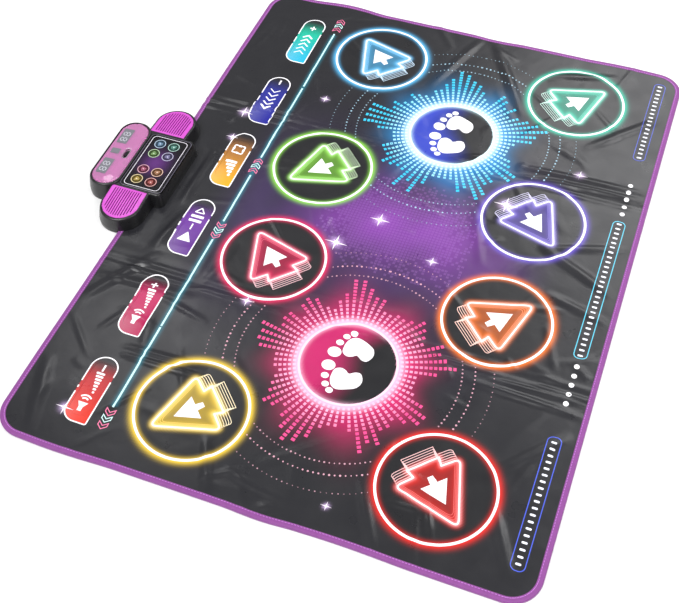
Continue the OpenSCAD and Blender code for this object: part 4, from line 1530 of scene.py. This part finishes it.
class DANCE_OT_grilles(bpy.types.Operator):
    """Make the two slotted speaker grilles"""

    bl_idname = "dance.grilles"
    bl_label = "Speaker grilles"

    def execute(self, context):
        pitch, slots, slot_w, inset = 4.8, 12, 2.1, 6.0
        for side, word in SIDES.items():
            low, high = span(f"speaker_grille_{word}")
            outline = resampled(grille_outline(side, 0.2), 1.6, True)
            end = (high[1] - low[1]) / 2
            centre_x = (high[0] - end) if side > 0 else (low[0] + end)
            flat_x = low[0] if side > 0 else high[0]
            holes = []
            for k in range(slots):
                y = (k - (slots - 1) / 2) * pitch
                tip = centre_x + side * np.sqrt(max((end - inset) ** 2 - y**2, 0))
                start = flat_x + side * (inset - 1)
                middle_y = (low[1] + high[1]) / 2 + y
                slot = rounded([(start + tip) / 2, middle_y], abs(tip - start), slot_w, slot_w / 2 - 0.05, 4)
                holes.append(resampled(slot, 3, True))
            flat = cut_patch(outline, holes, lattice(low, high, 1.9), 0.7)
            depth = distance_to(outline, flat[0])
            level = pod_top(flat[0][:, 0])
            crowned = level + 0.8 + 0.7 * smooth(depth / 26) - rounded_edge(depth, 2.4)
            made = piece(f"pod_grille_{word}", thick(flat, level - 1.4, crowned), shared("magenta_plastic"))
            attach(made, ROOT)
            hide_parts(f"speaker_grille_{word}")
        return {"FINISHED"}


# Seven-segment strokes: across and up from a digit's middle, and whether the stroke stands upright
SEGMENTS = ((0, 1, 0), (0.5, 0.5, 1), (0.5, -0.5, 1), (0, -1, 0), (-0.5, -0.5, 1), (-0.5, 0.5, 1), (0, 0, 0))
SEGMENT = np.array([(0.5, 0), (0.36, 0.14), (-0.36, 0.14), (-0.5, 0), (-0.36, -0.14), (0.36, -0.14)])
GLASSES = ((-42, 40, 21), (0, 14, 18), (42, 40, 21))  # middle, length and width
DIGITS_X = (-51, -36, 33, 48)


def window_outline():
    """Round-ended outline of the tinted window."""
    length, width = np.ptp(span("display_window"), axis=0)[:2]
    return resampled(rounded(middle("display_window"), length, width, width / 2 - 0.1, 24), 2.5, True)


def window_face(points):
    """Height of the window's crowned face: 0.4 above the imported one, and up to 1.3 more away from its rim."""
    return span("display_window")[1][2] + 0.4 + 1.3 * smooth(distance_to(window_outline(), points) / 24)


def score_films():
    """Three grey glasses with four seven-segment digits: patch, colour, and the feet and tops of its films
    against the window's face."""
    for x, length, width in GLASSES:
        rim = resampled(rounded((x, DISPLAY_Y), length, width, 1.5, 4), 3, True)
        half = np.array([length, width]) / 2
        inner = lattice((x, DISPLAY_Y) - half, (x, DISPLAY_Y) + half, 3)
        yield cut_patch(rim, [], inner, 1.2), linear("#75757D"), -0.4, 0.12
    for x in DIGITS_X:
        for across, up, standing in SEGMENTS:
            shape = SEGMENT * ([5.4, 6.5] if standing else [6.8, 6.5])
            place = np.array([[x + across * 8.2, DISPLAY_Y + up * 6.4]])
            yield stamps(place, shape, 90.0 if standing else 0.0), linear("#BDBDC6"), 0, 0.22


def knob_solid():
    """The slide switch's knob: a rounded block of stacked outlines with five ribs on it."""
    low, high = span("power_switch")
    centre, size = middle("power_switch"), high - low
    shape = {"centre": centre, "length": size[0], "width": size[1], "corner": 1.6}
    body = []
    for share, inset in ((0, 0), (0.6, 0), (0.85, 0.25), (1.0, 0.9)):
        outline = paired_outline(shape, inset, 16)
        body.append(np.column_stack([outline, np.full(len(outline), low[2] + share * (size[2] - 0.3))]))
    places = centre + np.column_stack([np.arange(-2, 3) * 1.9, np.zeros(5)])
    ribs = stamps(places, BLOCK * [0.45, size[1] / 2 - 1])
    return together([loft(np.array(body)), thick(ribs, high[2] - 0.5, high[2] + 0.1)])


class DANCE_OT_display(bpy.types.Operator):
    """Make the tinted window, the score digits and the slide switch's knob"""

    bl_idname = "dance.display"
    bl_label = "Display"

    def execute(self, context):
        low, high = span("display_window")
        outline = window_outline()
        slot = resampled(rounded(SLOT_AT, *SLOT, SLOT[1] / 2 - 0.1, 8), 2, True)
        flat = cut_patch(outline, [slot], lattice(low, high, 2.6), 1.0)
        worn = rounded_edge(distance_to(outline, flat[0]), 2.2)
        lip = rounded_edge(distance_to(slot, flat[0]), 0.7)
        solid = thick(flat, low[2], window_face(flat[0]) - worn - lip)
        window = piece("display_cover", solid, shared("tinted_acrylic"))
        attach(window, ROOT)
        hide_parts("display_window")

        top = span("display_modules")[1][2]
        length, width = (high - low)[:2]
        rim = resampled(rounded(middle("display_window"), length - 3, width - 3, width / 2 - 1.6, 20), 5, True)
        tray = cut_patch(rim, [slot], lattice(low, high, 6), 2.0)
        made = piece("display_tray", thick(tray, top - 1.2, top - 0.25), shared("tray_styrene"))
        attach(made, ROOT)

        solids, colours = [], []
        for patch, colour, foot, top in score_films():
            face = window_face(patch[0])
            solids.append(thick(patch, face + foot, face + top))
            colours.append(np.tile(colour, (2 * len(face), 1)))
        made = piece("score_glasses", together(solids), shared("printed_acrylic"), np.concatenate(colours))
        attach(made, ROOT)

        collar_line = rounded(SLOT_AT, SLOT[0] + 1.6, SLOT[1] + 1.6, SLOT[1] / 2 + 0.7, 8)
        ring = stroke(resampled(collar_line, 2, True), 0.9, True)
        face = window_face(ring[0])
        made = piece("slot_rim", thick(ring, face - 0.5, face + 0.2), shared("module_abs"))
        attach(made, ROOT)

        made = piece("slide_knob", knob_solid(), shared("knob_abs"))
        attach(made, "power_switch")
        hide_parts("power_switch")
        return {"FINISHED"}


# The panel's eight indicators: x, y, hue and the way the arrow points
INDICATORS = (
    (-49, 461, "#FFD84A", 135), (-22, 461, "#F0649A", 45), (22, 461, "#9AD86A", 135), (49, 461, "#86BEEC", 45),
    (-49, 432, "#EE5A50", 225), (-22, 432, "#F8A868", 315), (22, 432, "#A89CE0", 225), (49, 432, "#6CCDB8", 315),
)  # fmt: skip


def panel_ink():
    """The panel's white outline and, at each indicator, a pale ring and a small arrow's outline with a pale cursor.
    """
    centre = middle("indicator_panel")
    path = resampled(rounded(centre + (0, 0.5), 134, 72, 8, 8), 3, True)
    yield stroke(path, 1.1, True), linear("#EDE8F2"), 1
    front = resampled(rounded(centre, 143.4, 84.4, 9, 8), 3, True)
    yield stroke(front, 0.8, True), linear("#6E6A78"), 1
    turn = facing(np.arange(0, 360, 10))
    for x, y, hue, angle in INDICATORS:
        at = np.array([x, y])
        pale = linear(hue) * 0.45 + 0.35
        yield stroke(at + turn * 10.6, 1.3, True), pale, 1
        path = resampled(turned(ARROW * 0.085, angle) + at, 0.8, True)
        yield stroke(path, 0.9, True), linear(hue) * 0.5 + 0.1, 1
        yield plate(turned(CURSOR * 0.1, angle) + at, at, 1), pale, 2


class DANCE_OT_panel(bpy.types.Operator):
    """Make the glossy panel with its eight indicators"""

    bl_idname = "dance.panel"
    bl_label = "Indicator panel"

    def execute(self, context):
        low, high = span("indicator_panel")
        centre, size = middle("indicator_panel"), high - low
        outline = resampled(rounded(centre, size[0], size[1], PANEL_R, 10), 2, True)
        flat = cut_patch(outline, [], lattice(low, high, 2.2), 0.8)
        away = flat[0] - centre
        colour = np.broadcast_to(linear("#121114"), (len(away), 3))
        colour = over(colour, linear("#5C2F74"), 0.95 * halo(np.hypot(away[:, 0] / 1.15, away[:, 1] - 2), 24))
        for x, y, hue, _ in INDICATORS:
            r = np.hypot(*(flat[0] - (x, y)).T)
            colour = over(colour, linear(hue) * 0.05, smooth((11.5 - r) / 2))
            colour = over(colour, linear(hue), 0.14 * halo(r, 6))
        depth = distance_to(outline, flat[0])
        slab = thick(flat, low[2], high[2] + 0.25 - rounded_edge(depth, 0.6))
        solids, colours = [slab], [np.tile(colour, (2, 1))]
        for patch, ink, level in panel_ink():
            solids.append(thick(patch, high[2], high[2] + 0.3 + 0.05 * level))
            colours.append(np.broadcast_to(ink, (2 * len(patch[0]), 3)))
        made = piece("arrow_panel", together(solids), shared("printed_acrylic"), np.concatenate(colours))
        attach(made, ROOT)
        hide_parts("indicator_panel")
        return {"FINISHED"}


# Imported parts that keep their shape: material, slot and nodes
RECOATED = (
    ("moulded_abs", "black_abs", "battery_door"),
    ("zinc_plate", "zinc_steel", "clamp_plate", "clamp_screws", "housing_screws", "board_screws"),
    ("spring_steel", "zinc_steel", "battery_contacts"),
    ("module_abs", "display_module", "display_modules"),
    ("led_epoxy", "indicator_led", "indicator_leds"),
    ("glass_laminate", "circuit_board", "main_board"),
    ("polyester_film", "circuit_film", "flex_tail"),
    ("paper_cone", "speaker_cone", "speaker_left", "speaker_right"),
    ("knob_abs", "switch_knob", "switch_body"),
    ("cell_sleeve", "battery", "batteries"),
    ("soft_rubber", "rubber_foot", "rubber_feet"),
)


class DANCE_OT_inner_parts(bpy.types.Operator):
    """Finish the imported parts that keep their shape"""

    bl_idname = "dance.inner_parts"
    bl_label = "Inner parts"

    def execute(self, context):
        for row in RECOATED:
            recoat(*row)
        return {"FINISHED"}


# The camera: its place in m, the way it looks and its right side
CAMERA_AT = (-1.240, -0.435, 1.488)
CAMERA_LOOK = np.array([0.5682, 0.2358, -0.7884])
CAMERA_RIGHT = np.array([0.3552, -0.9345, -0.0236])

# Name, place in m, and for a soft box its share of the key light's power and its size in m. The sun, whose last
# two are its strength and the angle it fills, keeps the floor evenly white.
LIGHTS = (
    ("key", (2.9, -0.3, 2.4), 0.5, 1.4), ("edge", (1.5, -1.0, 2.3), 0.28, 0.8), ("left", (1.1, 1.45, 2.4), 0.14, 0.7),
    ("front", (-0.6, -2.3, 2.4), 1.0, 1.6), ("sun", (-1.5, 0.7, 3.0), 2.7, 0.6),
)  # fmt: skip
WORLD_STRENGTH = 0.32


def settle(thing, place, right, up, back):
    """Puts a camera or a light in the scene, at a place in m and turned to its right, up and back axes."""
    axes = np.array([right, up, back]).T
    thing.matrix_world = Matrix([[*row, p] for row, p in zip(axes, place)] + [[0, 0, 0, 1]])
    bpy.context.scene.collection.objects.link(thing)


class DANCE_OT_stage(bpy.types.Operator):
    """Set the camera, a pale floor and soft studio light"""

    bl_idname = "dance.stage"
    bl_label = "Stage"

    def execute(self, context):
        settings = look("stage_look")
        scene = context.scene
        camera = bpy.data.objects.new("camera", bpy.data.cameras.new("camera"))
        camera.data.lens = settings.lens
        camera.data.clip_end = 50
        back = -CAMERA_LOOK / np.linalg.norm(CAMERA_LOOK)
        settle(camera, CAMERA_AT, CAMERA_RIGHT, np.cross(back, CAMERA_RIGHT), back)
        scene.camera = camera
        floor = piece("floor", thick(plate(rounded((0, 0), 16000, 16000, 10, 2)), -30, -0.3), studio_floor())
        floor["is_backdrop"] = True
        for name, at, share, size in LIGHTS:
            lamp = bpy.data.lights.new(name, "SUN" if name == "sun" else "AREA")
            if name == "sun":
                lamp.energy, lamp.angle = share, size
            else:
                lamp.energy, lamp.size, lamp.shape = settings.key * share, size, "DISK"
            away = np.array(at) / np.linalg.norm(at)
            side = np.cross((0, 0, 1), away)
            side /= np.linalg.norm(side)
            settle(bpy.data.objects.new(name, lamp), at, side, np.cross(away, side), away)
        world = bpy.data.worlds.new("studio")
        world.use_nodes = True
        background = world.node_tree.nodes["Background"]
        background.inputs["Color"].default_value = (1, 1, 1, 1)
        background.inputs["Strength"].default_value = WORLD_STRENGTH
        scene.world = world
        scene.view_settings.view_transform = "Standard"
        return {"FINISHED"}


OPERATORS = (
    DANCE_OT_stage, DANCE_OT_materials, DANCE_OT_layers, DANCE_OT_printed_sheet, DANCE_OT_pads, DANCE_OT_buttons,
    DANCE_OT_ink, DANCE_OT_binding, DANCE_OT_housings, DANCE_OT_grilles, DANCE_OT_display, DANCE_OT_panel,
    DANCE_OT_inner_parts,
)  # fmt: skip
GROUPS = {"mat_look": MatLook, "box_look": BoxLook, "stage_look": StageLook}


class DANCE_PT_panel(bpy.types.Panel):
    """Lists the settings and the steps in the 3D view's sidebar"""

    bl_label = "Dance rhythm machine"
    bl_idname = "DANCE_PT_panel"
    bl_space_type = "VIEW_3D"
    bl_region_type = "UI"
    bl_category = "Dance mat"

    def draw(self, context):
        for group in GROUPS:
            box = self.layout.box()
            for name in getattr(context.scene, group).__annotations__:
                box.prop(getattr(context.scene, group), name)
        for operator in OPERATORS:
            self.layout.operator(operator.bl_idname)


def register():
    """Registers the groups, the operators and the panel."""
    for group, kind in GROUPS.items():
        bpy.utils.register_class(kind)
        setattr(bpy.types.Scene, group, PointerProperty(type=kind))
    for kind in (*OPERATORS, DANCE_PT_panel):
        bpy.utils.register_class(kind)


def unregister():
    """Takes back what register did."""
    for kind in (DANCE_PT_panel, *reversed(OPERATORS)):
        bpy.utils.unregister_class(kind)
    for group, kind in GROUPS.items():
        delattr(bpy.types.Scene, group)
        bpy.utils.unregister_class(kind)


def main():
    """Builds every piece, in order."""
    register()
    for operator in OPERATORS:
        getattr(bpy.ops.dance, operator.bl_idname.split(".")[1])()
    sizes = {"cad": CAD_BOX, "visual": [list(corner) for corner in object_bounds()]}
    sizes = {key: [[float(x) for x in corner] for corner in box] for key, box in sizes.items()}


if __name__ == "__main__":
    main()
